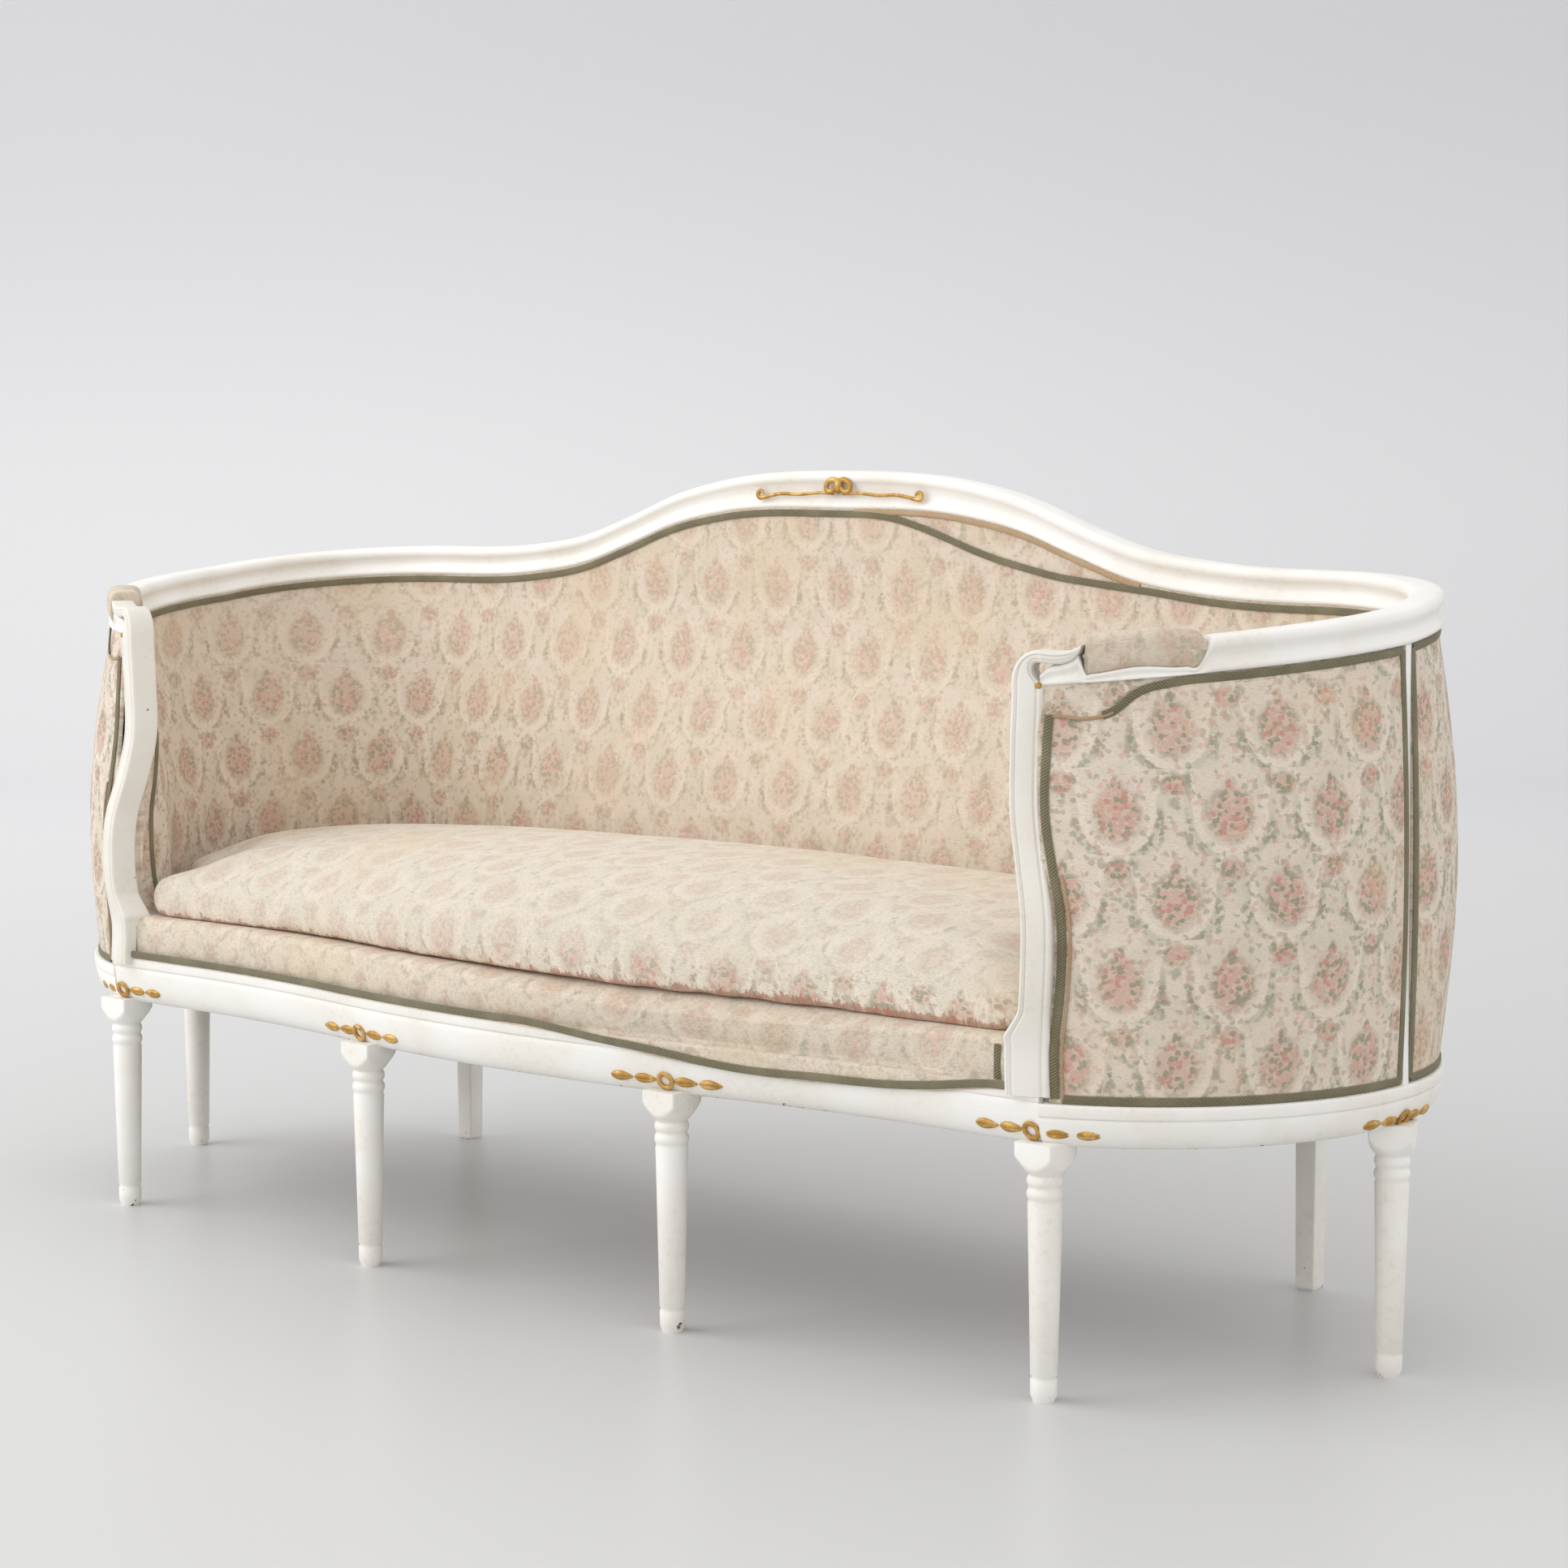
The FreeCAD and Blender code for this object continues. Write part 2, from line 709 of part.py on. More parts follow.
def make_posts_and_arms():
    """Posts with their knuckles, and the arm rails dipped where the arm pads lie."""
    head, seat = knuckle()
    tack = wall_piece([(side_bay, 0), (side_bay, share_of(side_bay, post_tack_width))],
                      frame_inner, frame_outer, levels(rail_top, frame_top))
    post = post_loft(0).fuse(head).fuse(tack).removeSplitter()
    save_pair("arm_post", post)
    along = unit(side_turn_deg)
    back = unit(side_turn_deg + quarter_deg)
    half = post_width / 2
    start = seat + Vec(0, 0, half + knuckle_hollow)
    wires = [polygon([start - back * across + Vec(0, 0, up)
                      for across, up in chamfered(half, half, post_round)])]
    for step in range(1, arm_steps + 1):
        share = step / arm_steps
        wires.append(ring_section(side_bay, share, side_bay.half_width(share),
                                  side_bay.under(share), side_bay.top(share), rail_round))
    rail = facet_loft(wires)
    dip = []
    for share in arm_pad_shares:
        low = side_bay.top(share) - arm_dip
        dip.append(ring_section(side_bay, share, arm_rail_width, low, low + overrun, gap))
    rail = rail.cut(facet_loft(dip))
    save_pair("arm_rail", rail)
    pad = []
    for share, full in zip(arm_pad_shares, arm_pad_full_shares):
        low = side_bay.top(share) - arm_dip + gap
        high = low + mix(arm_dip, arm_dip + arm_pad_stand, full)
        half_wide = mix(arm_rail_width, arm_pad_width, full) / 2
        pad.append(ring_section(side_bay, share, half_wide, low, high, rail_round))
    body = facet_loft(pad)
    for share, side in ((arm_pad_shares[0], 1), (arm_pad_shares[-1], -1)):
        place, deg = side_bay.foot(share)
        normal = unit(deg - side * quarter_deg)
        edge = side_bay.head(share) - normal * gap
        body = body.cut(beyond(Vec(edge.x, edge.y, 0), normal))
    save_pair("arm_pad", body)
    axis = unit(side_turn_deg - quarter_deg)
    face = wall_out + eye_clear
    eye_radius = face - gap - half + post_round + knuckle_hollow
    eye = cylinder(eye_radius, eye_stand, seat + axis * face, axis)
    save("knuckle_eyes", eye, mirrored(eye))


def make_corner_top_rail():
    wires = [ring_section(corner_bay, step / corner_steps, corner_bay.half_width(step / corner_steps),
                          corner_bay.under(step / corner_steps), corner_bay.top(step / corner_steps),
                          rail_round) for step in range(corner_steps + 1)]
    save_pair("corner_top_rail", facet_loft(wires))


def crest_wire(y, inset):
    """Crest outline in a front-view plane, its long edges drawn in by an inset."""
    upper = crest_upper.copy()
    lower = crest_lower.copy()
    upper.translate(Vec(0, y - crest_y, -inset))
    lower.translate(Vec(0, y - crest_y, inset))
    top = upper.toShape()
    low = lower.toShape()
    ends = [Part.makeLine(upper.EndPoint, lower.EndPoint),
            Part.makeLine(lower.StartPoint, upper.StartPoint)]
    return Part.Wire([top, ends[0], low, ends[1]])


def make_crest():
    front = crest_y - crest_thickness / 2
    back = crest_y + crest_thickness / 2
    wires = [crest_wire(front, rail_round), crest_wire(front + rail_round, 0),
             crest_wire(back - rail_round, 0), crest_wire(back, rail_round)]
    crest = Part.makeLoft(wires, True, True)
    save("crest_rail", crest)
    return crest


def below_crest():
    """Everything under the crest's lower edge, between the corner rails."""
    lower = crest_lower.copy()
    lower.translate(Vec(0, -overrun - crest_thickness, -top_gap))
    edge = lower.toShape()
    down = Vec(0, 0, rail_bottom - crest_top)
    first, last = lower.StartPoint, lower.EndPoint
    wire = Part.Wire([edge, Part.makeLine(last, last + down),
                      Part.makeLine(last + down, first + down),
                      Part.makeLine(first + down, first)])
    return Part.Face(wire).extrude(Vec(0, 2 * overrun + 2 * crest_thickness, 0))


def outside_face(bay, share, z):
    """Outside upholstery: follows the wall line and bellies between the frame parts."""
    flat = bay.line(share, z) + wall_out
    if bay.kind == "back":
        return flat
    height = (z - rail_ledge) / (bay.under(share) - rail_ledge)
    round_z = math.sin(math.pi * min(1, max(0, height)))
    return flat + wall_bulge * round_z * math.sqrt(math.sin(math.pi * share))


def outside_back(bay, share, z):
    return outside_face(bay, share, z) - panel_thickness


def frame_inner(bay, share, z):
    return bay.line(share, z) - frame_in


def frame_outer(bay, share, z):
    return bay.line(share, z) + wall_out - panel_thickness - gap


def pad_back(bay, share, z):
    return bay.line(share, z) - frame_in - gap - webbing_thickness - gap


def pad_front(bay, share, z):
    """Inside upholstery: upright by the seat, then drawn back to the top rail."""
    top = shoulder_top - crest_shoulder_height if bay.kind == "back" else bay.under(share)
    head = bay.line(share, z) - bay.half_width(share) + pad_recess
    return mix(-seat_pad_in, head, ease((z - pad_full_top) / (top - pad_full_top)))


def under_gap(bay, share):
    return bay.under(share) - top_gap


def frame_top(bay, share):
    return bay.under(share) - gap


pad_heights = levels(pad_bottom, under_gap, pad_bends)
panel_heights = levels(rail_ledge + gap, under_gap, panel_bends)
pad_facet = along_facets(pad_front, pad_heights)
panel_facet = along_facets(outside_face, panel_heights)


def ring_length(bay):
    if bay.kind == "side":
        return side_radius * math.radians(-side_start_deg)
    if bay.kind == "corner":
        return corner_radius * math.radians(quarter_deg)
    return 2 * corner_x


def share_of(bay, length):
    return length / ring_length(bay)


def joint_stations(first, second, half):
    """Three stations across the joint between two bays."""
    return [(first, 1 - share_of(first, half)), (first, 1), (second, share_of(second, half))]


def make_stile(name, first, second):
    """Upright between two bays with a bead that shows between the outside panels."""
    post = wall_piece(joint_stations(first, second, stile_half_width), frame_inner, frame_outer,
                      levels(rail_top, frame_top))
    bead = wall_piece(joint_stations(first, second, bead_half_width),
                      lambda bay, share, z: frame_outer(bay, share, z) - gap,
                      lambda bay, share, z: bay.line(share, z) + wall_out + bead_stand,
                      levels(rail_ledge, frame_top))
    save_pair(name, post.fuse(bead))


def make_tack_rails(grown_post):
    def rail(bay, first, last):
        return wall_piece(wall_stations(bay, first, last), frame_inner,
                          lambda bay, share, z: frame_inner(bay, share, z) + tack_rail_thickness,
                          levels(tack_rail_bottom, tack_rail_top))
    ends = [share_of(bay, stile_half_width + gap) for bay in (side_bay, corner_bay, back_bay)]
    start = share_of(side_bay, post_tack_width + gap)
    save_pair("side_tack_rail", rail(side_bay, start, 1 - ends[0]).cut(grown_post))
    save_pair("corner_tack_rail", rail(corner_bay, ends[1], 1 - ends[1]))
    save("back_tack_rail", rail(back_bay, ends[2], 1 - ends[2]))


def make_pads(grown_post):
    side = wall_piece(wall_stations(side_bay, 0, 1), pad_front, pad_back, pad_heights)
    save_pair("inside_arm_upholstery", side.cut(grown_post))
    corner = wall_piece(wall_stations(corner_bay, 0, 1), pad_front, pad_back, pad_heights)
    save_pair("inside_corner_upholstery", corner)
    back = wall_piece(stations(back_bay, 0, 1, back_steps), pad_front, pad_back, pad_heights)
    save("inside_back_upholstery", back)


def make_panels(grown_post):
    ends = [share_of(bay, bead_half_width + gap) for bay in (side_bay, corner_bay, back_bay)]
    start = share_of(side_bay, panel_start)
    side = wall_piece([(side_bay, mix(start, 1 - ends[0], share)) for share in bulge_shares],
                      outside_back, outside_face, panel_heights)
    save_pair("outside_arm_panel", side.cut(grown_post))
    corner = wall_piece([(corner_bay, mix(ends[1], 1 - ends[1], share)) for share in bulge_shares],
                        outside_back, outside_face, panel_heights)
    save_pair("outside_corner_panel", corner)
    back = wall_piece(stations(back_bay, ends[2], 1 - ends[2], 1), outside_back, outside_face,
                      levels(rail_ledge + gap, crest_top))
    save("outside_back_panel", back.common(below_crest()))


def make_wall_webbing():
    """Upright webbing strips behind the inside upholstery, tacked to the rails."""
    def strip(bay, middle, top):
        half = share_of(bay, webbing_width / 2)
        first, last = middle - half, middle + half
        if bay is not back_bay:
            first, last = middle / wall_steps, (middle + 1) / wall_steps
        return wall_piece(stations(bay, first, last, 1),
                          lambda bay, share, z: frame_inner(bay, share, z) - gap / 2 - webbing_thickness,
                          lambda bay, share, z: frame_inner(bay, share, z) - gap / 2,
                          levels(tack_rail_bottom, top))
    right = [strip(side_bay, share, side_bay.under(0) - top_gap) for share in side_web_steps]
    right += [strip(corner_bay, share, corner_bay.under(0) - top_gap) for share in corner_web_steps]
    straight = [strip(back_bay, share, shoulder_top - crest_shoulder_height - top_gap)
                for share in back_web_shares]
    save("wall_webbing", *(right + [mirrored(piece) for piece in right] + straight))


def arc_points(centre, radius, first, last):
    """Points along an arc in plan, both ends included."""
    count = arc_steps
    return [centre + unit(mix(first, last, step / count)) * radius for step in range(count + 1)]


def seat_wire(z, front_out, notch_x, side_in, corner_r, scale):
    """Seat plan between posts and walls: bowed front, notched round the posts."""
    inner = side_radius - side_in
    notch_deg = -math.degrees(math.acos((notch_x - side_centre_x) / inner))
    half = arc_points(Vec(0, bow_radius - bow_depth, 0), bow_radius + front_out,
                      -quarter_deg, bow_turn_deg - quarter_deg)[1:]
    half += arc_points(Vec(bow_half_length, -bow_radius, 0), bow_radius - front_out,
                       quarter_deg + bow_turn_deg, quarter_deg)[1:]
    half += arc_points(Vec(notch_x - corner_r, corner_r - front_out, 0), corner_r,
                       -quarter_deg, 0) if corner_r else [Vec(notch_x, -front_out, 0)]
    half += arc_points(Vec(side_centre_x, side_leg_y, 0), inner, notch_deg, 0)[:-1]
    half += arc_points(Vec(corner_x, side_leg_y, 0), corner_radius - side_in, 0, quarter_deg)
    middle = Vec(0, seat_middle_y, 0)
    front = Vec(0, -bow_depth - front_out, 0)
    whole = [front] + half + [Vec(-place.x, place.y, 0) for place in reversed(half)]
    return polygon([middle + (place - middle) * scale + Vec(0, 0, z) for place in whole])


def make_seat(grown_post):
    """Webbing, base cloth and the stuffed seat with its rounded front edge band."""
    strips = []
    for step in range(-webbing_strips, webbing_strips + 1):
        x = step * webbing_pitch
        start = max(front_y(x - webbing_width / 2), front_y(x + webbing_width / 2)) + webbing_in
        end = back_line_y - frame_in - 2 * gap
        strips.append(Part.makeBox(webbing_width, end - start, webbing_thickness,
                                   Vec(x - webbing_width / 2, start, rail_top)))
    for share in cross_webbing_shares:
        y = mix(0, back_line_y, share)
        near = y - webbing_width / 2 if y < side_leg_y else y + webbing_width / 2
        radius, centre = ((side_radius, side_centre_x) if y < side_leg_y
                          else (corner_radius, corner_x))
        x = centre + math.sqrt((radius - cloth_in) ** 2 - (near - side_leg_y) ** 2)
        strips.append(Part.makeBox(2 * x, webbing_width, webbing_thickness,
                                   Vec(-x, y - webbing_width / 2, rail_top + webbing_thickness)))
    save("seat_webbing", *strips)
    posts = [grown_post, mirrored(grown_post)]
    cloth_z = rail_top + 2 * webbing_thickness
    wire = seat_wire(cloth_z, -webbing_in, front_leg_x - post_foot_width / 2, cloth_in, 0, 1)
    cloth = Part.Face(wire).extrude(Vec(0, 0, cloth_thickness))
    deck_z = cloth_z + cloth_thickness
    notch_x = side_bay.point(0, -seat_pad_in, deck_top).x - deck_side_gap
    wire = seat_wire(deck_z, 0, notch_x, seat_pad_in + deck_side_gap, 0, 1)
    deck = Part.Face(wire).extrude(Vec(0, 0, deck_top - deck_z))
    lip = rail_top + gap
    profile = [(-webbing_in + gap, lip), (band_out - gimp_thickness - gap, lip),
               (band_out - gimp_thickness - gap, lip + gimp_width), (band_out, lip + gimp_width + gap),
               (band_out + band_belly, mix(lip, deck_top, 0.6)),
               (band_out, deck_top - deck_edge_round / 2), (band_out - deck_edge_round, deck_top),
               (-webbing_in + gap, deck_top)]
    band = swept(profile, front_path(front_leg_x - post_foot_width / 2))
    deck = deck.fuse(band)
    for post in posts:
        cloth = cloth.cut(post)
        deck = deck.cut(post)
    save("seat_base_cloth", cloth)
    save("stuffed_seat", deck)
    low = lip + gap
    braid = [(band_out - gimp_thickness, low), (band_out, low),
             (band_out, low + gimp_width - 2 * gap), (band_out - gimp_thickness, low + gimp_width - 2 * gap)]
    gimp = swept(braid, front_path(front_leg_x - post_foot_width / 2 - rail_round))
    save("front_gimp", gimp)


def make_cushion():
    """Loose seat cushion: sides drawn in above and below, top crowned."""
    low = deck_top + gap
    wires = []
    for scale_share, rise_share in zip(cushion_scale_shares, cushion_rise_shares):
        z = low + (cushion_boxing + cushion_crown) * rise_share
        wires.append(seat_wire(z, band_out - cushion_front_in, cushion_notch_x,
                               seat_pad_in + cushion_side_gap, cushion_corner_radius, scale_share))
    save("seat_cushion", facet_loft(wires))


def make_inner_frame(front_rail):
    """Cross bars between front and back rails, and blocks glued into the front joints."""
    z = rail_top - cross_bar_drop - cross_bar_height
    bars = []
    for side in (1, -1):
        x = side * inner_leg_x - cross_bar_width / 2
        bar = Part.makeBox(cross_bar_width, back_line_y - rail_in + bow_depth, cross_bar_height,
                           Vec(x, -bow_depth, z))
        bars.append(bar.cut(front_rail).Solids)
    kept = [max(solids, key=lambda solid: solid.Volume) for solids in bars]
    save("seat_cross_bars", *kept)
    inner = side_radius - rail_in - gap
    line_y = rail_in + gap
    bend_deg = -math.degrees(math.asin((side_leg_y - line_y) / inner))
    reach_deg = bend_deg + math.degrees(block_leg / inner)
    centre = Vec(side_centre_x, side_leg_y, 0)
    corner = centre + unit(bend_deg) * inner
    far = centre + unit(reach_deg) * inner
    far_in = centre + unit(reach_deg) * (inner - block_thickness)
    near = Vec(corner.x - block_leg, line_y, 0)
    lift = Vec(0, 0, rail_top - block_drop - block_height)
    outline = [near, corner, far, far_in, Vec(corner.x - gap, line_y + block_thickness, 0),
               near + Vec(0, block_thickness, 0)]
    block = Part.Face(polygon([place + lift for place in outline])).extrude(Vec(0, 0, block_height))
    save("joint_blocks", block, mirrored(block))


def sag(share, first, last, depth):
    """Droop of a braid that has come loose between two places."""
    part = (share - first) / (last - first)
    return depth * math.sin(math.pi * part) ** 2 if 0 < part < 1 else 0.0


def make_inside_gimp():
    """Braid under the top rails; on the right of the hump it hangs loose."""
    def strip(where, droop):
        def low(bay, share):
            return bay.under(share) - top_gap - gimp_width - droop(bay, share)
        wires = []
        for bay, share in where:
            bottom = low(bay, share)
            top = bottom + gimp_width
            wires.append(wall_wire(bay, share,
                                   lambda b, s, z: pad_facet(b, s, z) - gimp_gap - gimp_thickness,
                                   lambda b, s, z: pad_facet(b, s, z) - gimp_gap,
                                   levels(bottom, top)))
        return facet_loft(wires)

    def none(bay, share):
        return 0.0

    def loose(bay, share):
        return sag(share, loose_back_shares[0], loose_back_shares[1], back_gimp_sag)
    side = strip(stations(side_bay, 1 / wall_steps, 1, wall_steps - 1), none)
    corner = strip(stations(corner_bay, 0, 1, wall_steps), none)
    right = strip(stations(back_bay, 0, 0.5, 16), loose)
    left = strip(stations(back_bay, 0.5, 1, 16), none)
    save("inside_gimp", side, corner, mirrored(side), mirrored(corner), right, left)


def make_outside_gimp(grown_post):
    """Braid round each outside panel."""
    def under(bay, share, z):
        return panel_facet(bay, share, z) + gimp_gap

    def over(bay, share, z):
        return under(bay, share, z) + gimp_thickness

    def strip_low(bay, share):
        return bay.under(share) - top_gap - gimp_width

    def droop(bay, share):
        if bay.kind != "side":
            return 0.0
        return sag(share, loose_arm_shares[0], loose_arm_shares[1], arm_gimp_sag)
    pieces = []
    for bay in (side_bay, corner_bay):
        end = share_of(bay, bead_half_width + gap)
        first = share_of(bay, panel_start) if bay is side_bay else end
        where = [(bay, mix(first, 1 - end, share)) for share in bulge_shares]
        start = 2 if bay is side_bay else 1
        between = where[start:-1]
        pieces.append(wall_piece(between, under, over,
                                 levels(lambda b, s: strip_low(b, s) - droop(b, s),
                                        lambda b, s: strip_low(b, s) + gimp_width - droop(b, s))))
        pieces.append(wall_piece(between, under, over,
                                 levels(rail_ledge + gap, rail_ledge + gap + gimp_width)))
        pieces.append(wall_piece(where[-2:], under, over, panel_heights))
        if bay is corner_bay:
            pieces.append(wall_piece(where[:2], under, over, panel_heights))
    pieces[0] = pieces[0].cut(grown_post)
    save_pair_group("outside_gimp", pieces)


def save_pair_group(name, pieces):
    save(name + "_right", *pieces)
    save(name + "_left", *[mirrored(piece) for piece in pieces])


def leaf(middle):
    """A pointed leaf lying along x, thick along y, its back on the plane y = 0."""
    half = leaf_length / 2
    tip = leaf_height / 2
    outline = [Vec(-half, 0, 0), Vec(-half / 3, 0, tip), Vec(half / 2, 0, tip / 2), Vec(half, 0, 0),
               Vec(half / 2, 0, -tip / 2), Vec(-half / 3, 0, -tip)]
    piece = Part.Face(polygon(outline)).extrude(Vec(0, -ornament_stand, 0))
    return mirrored(piece) if middle < 0 else piece


def laid_on_rail(piece, top, place, deg):
    """Lay an ornament's flat back on the middle facet of a rail's rounded face."""
    low, high = [rail_curve(top, turn_deg) for turn_deg in rail_turn_degs[1:3]]
    tilt_deg = math.degrees(math.atan2(high[0] - low[0], high[1] - low[1]))
    piece = move_in(piece, Vec(0, -ornament_gap, 0))
    piece.rotate(Vec(0, 0, 0), Vec(1, 0, 0), tilt_deg)
    piece.translate(Vec(0, -(low[0] + high[0]) / 2, (low[1] + high[1]) / 2))
    piece.rotate(Vec(0, 0, 0), Vec(0, 0, 1), deg)
    return move_in(piece, place)


def on_bow(along):
    x = inner_leg_x + along
    slope = (front_y(x + gap) - front_y(x - gap)) / (2 * gap)
    return rail_top, Vec(x, front_y(x), 0), math.degrees(math.atan(slope))


def on_arc(centre_x, radius, deg):
    place = Vec(centre_x, side_leg_y, 0) + unit(deg) * radius
    return rail_ledge, place, deg + quarter_deg


def at_front_corner(along):
    if along < 0:
        return rail_top, Vec(front_leg_x + along, 0, 0), 0
    if along > 0:
        return on_arc(side_centre_x, side_radius, side_start_deg + math.degrees(along / side_radius))
    return rail_top, Vec(front_leg_x, 0, 0) + unit(mitre_deg - quarter_deg), mitre_deg


def at_side_leg(along):
    centre_x, radius = (side_centre_x, side_radius) if along < 0 else (corner_x, corner_radius)
    return on_arc(centre_x, radius, math.degrees(along / radius))


def make_ornaments(side_rail):
    """Ring with two leaves each side of it, laid on the rail at each leg."""
    disc, hole = [Part.Face(ring_of(radius, dowel_sides, 0)).extrude(Vec(0, 0, ornament_stand))
                  for radius in (ornament_ring_radius, ornament_ring_hole)]
    ring = disc.cut(hole)
    ring.rotate(Vec(0, 0, 0), Vec(1, 0, 0), quarter_deg)
    first = ornament_ring_radius + leaf_gap + leaf_length / 2
    second = first + leaf_gap + leaf_length
    right = []
    for spot in (on_bow, at_front_corner, at_side_leg):
        right.append(laid_on_rail(ring, *spot(0)).cut(side_rail))
        for along in (-second, -first, first, second):
            right.append(laid_on_rail(leaf(along), *spot(along)))
    save("leg_ornaments", *(right + [mirrored(piece) for piece in right]))


def make_crest_ornament():
    """Ribbon knot with two trailing ribbons on the middle of the crest."""
    face_y = crest_y - crest_thickness / 2 - ornament_gap
    z = crest_top - crest_middle_height * knot_drop_share
    pieces = []
    for side in (1, -1):
        loop = Part.Face(polygon([Vec(unit(circle_deg * step / dowel_sides).x * knot_width / 4,
                                      unit(circle_deg * step / dowel_sides).y * knot_height / 4, 0)
                                  for step in range(dowel_sides)]))
        loop = loop.extrude(Vec(0, 0, ornament_stand))
        loop.rotate(Vec(0, 0, 0), Vec(1, 0, 0), quarter_deg)
        loop.rotate(Vec(0, 0, 0), Vec(0, 1, 0), side * knot_tilt_deg)
        pieces.append(move_in(loop, Vec(side * knot_width / 4, face_y, z)))
    middle = Part.Face(ring_of(knot_height / 4, dowel_sides, 0)).extrude(Vec(0, 0, ornament_stand))
    middle.rotate(Vec(0, 0, 0), Vec(1, 0, 0), quarter_deg)
    knot = fused(pieces + [move_in(middle, Vec(0, face_y, z))])
    ribbons = []
    for side in (1, -1):
        top = []
        low = []
        for share in ribbon_shares:
            x = side * mix(knot_width / 2 + leaf_gap, ribbon_half_length, share)
            wave = ribbon_height * math.sin(2 * math.pi * share) / 2 - ribbon_height / 2
            half = ribbon_height * mix(1, 0.4, abs(2 * share - 1)) / 2
            top.append(Vec(x, face_y, z + wave + half))
            low.append(Vec(x, face_y, z + wave - half))
        outline = polygon(top + low[::-1])
        ribbons.append(Part.Face(outline).extrude(Vec(0, -ornament_stand, 0)))
    save("crest_ornament", knot, *ribbons)


def main():
    os.makedirs("parts", exist_ok=True)
    front_rail = make_front_rail()
    side_rail = make_side_rail()
    make_corner_rail()
    make_back_rail()
    make_back_legs()
    make_turned_legs()
    make_posts_and_arms()
    make_corner_top_rail()
    make_crest()
    grown_post = post_loft(gap)
    make_stile("rear_arm_stile", side_bay, corner_bay)
    make_stile("back_stile", corner_bay, back_bay)
    make_tack_rails(grown_post)
    make_pads(grown_post)
    make_panels(grown_post)
    make_wall_webbing()
    make_seat(grown_post)
    make_cushion()
    make_inner_frame(front_rail)
    make_inside_gimp()
    make_outside_gimp(grown_post)
    make_ornaments(side_rail)
    make_crest_ornament()


main()
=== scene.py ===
import json

import bpy
import numpy as np
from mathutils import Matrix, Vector


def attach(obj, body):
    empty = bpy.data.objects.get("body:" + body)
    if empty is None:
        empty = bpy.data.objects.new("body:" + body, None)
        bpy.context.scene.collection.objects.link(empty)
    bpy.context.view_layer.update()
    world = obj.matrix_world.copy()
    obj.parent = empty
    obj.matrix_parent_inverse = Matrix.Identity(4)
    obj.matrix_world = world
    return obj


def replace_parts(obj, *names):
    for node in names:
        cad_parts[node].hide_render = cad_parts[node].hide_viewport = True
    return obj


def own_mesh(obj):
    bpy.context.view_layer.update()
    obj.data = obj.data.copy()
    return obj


# Looks of the gustavian sofa. Shapes are worked out in the millimetres of the CAD's plan,
# measured from the line through the front corner legs, and set into the frame in metres.

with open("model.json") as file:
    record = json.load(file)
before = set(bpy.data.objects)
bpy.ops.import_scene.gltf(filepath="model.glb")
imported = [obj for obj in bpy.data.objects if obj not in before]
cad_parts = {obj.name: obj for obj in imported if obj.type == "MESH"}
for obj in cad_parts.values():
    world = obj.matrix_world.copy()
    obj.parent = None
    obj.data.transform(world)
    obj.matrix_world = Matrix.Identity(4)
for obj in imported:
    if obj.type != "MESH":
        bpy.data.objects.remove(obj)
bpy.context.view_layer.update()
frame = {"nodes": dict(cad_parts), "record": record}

# Seat ring and upper ring, as in the part's source
FRONT_LEG_X = 737.0
INNER_LEG_X = 246.0
SIDE_LEG_X = 967.0
SIDE_LEG_Y = 318.0
BACK_LINE_Y = 600.0
BOW_DEPTH = 50.0
BOW_HALF_LENGTH = 590.0
RAIL_BOTTOM = 273.0
RAIL_LEDGE = 320.0
RAIL_TOP = 335.0
RAIL_OUT = 18.0
RAIL_IN = 26.0
ARM_LEAN_IN = 24.0
ARM_SET_BACK = 32.0
POST_LEAN_IN = 30.0
POST_SET_BACK = 7.5
CREST_Y = 598.0
CREST_THICKNESS = 44.0
ARM_TOP_FRONT = 790.0
ARM_TOP_REAR = 827.0
SHOULDER_TOP = 854.0
CREST_TOP = 965.0
ARM_RAIL_HEIGHT = 38.0
ARM_RAIL_WIDTH = 38.0
SHOULDER_HEIGHT = 40.0
CREST_HEIGHT = 49.0
CREST_X_SHARES = (0.0, 0.28, 0.414, 0.52, 0.652, 0.783, 1.0)
CREST_RISE_SHARES = (1.0, 0.893, 0.70, 0.455, 0.188, 0.063, 0.0)
CREST_DEPTH_SHARES = (1.0, 0.45, 0.15, 0.0, 0.0, 0.0, 0.0)

# Upholstery
WALL_OUT = 13.0
WALL_BULGE = 23.0
SEAT_PAD_IN = 78.0
PAD_BOTTOM = 342.0
PAD_FULL_TOP = 470.0
DECK_TOP = 388.0
BAND_OUT = 12.0

CORNER_RADIUS = BACK_LINE_Y - SIDE_LEG_Y
CORNER_X = SIDE_LEG_X - CORNER_RADIUS
SIDE_REACH = SIDE_LEG_X - FRONT_LEG_X
SIDE_RADIUS = (SIDE_REACH ** 2 + SIDE_LEG_Y ** 2) / (2 * SIDE_REACH)
SIDE_CENTRE_X = SIDE_LEG_X - SIDE_RADIUS
SIDE_START = -np.arcsin(SIDE_LEG_Y / SIDE_RADIUS)
TOP_CENTRE_Y = SIDE_LEG_Y + ARM_SET_BACK
TOP_CORNER_RADIUS = CREST_Y - TOP_CENTRE_Y
TOP_CORNER_X = SIDE_LEG_X - ARM_LEAN_IN - TOP_CORNER_RADIUS
TOP_REACH = SIDE_LEG_X - ARM_LEAN_IN - FRONT_LEG_X + POST_LEAN_IN
TOP_DEPTH = TOP_CENTRE_Y - POST_SET_BACK
TOP_SIDE_RADIUS = (TOP_REACH ** 2 + TOP_DEPTH ** 2) / (2 * TOP_REACH)
TOP_SIDE_X = SIDE_LEG_X - ARM_LEAN_IN - TOP_SIDE_RADIUS
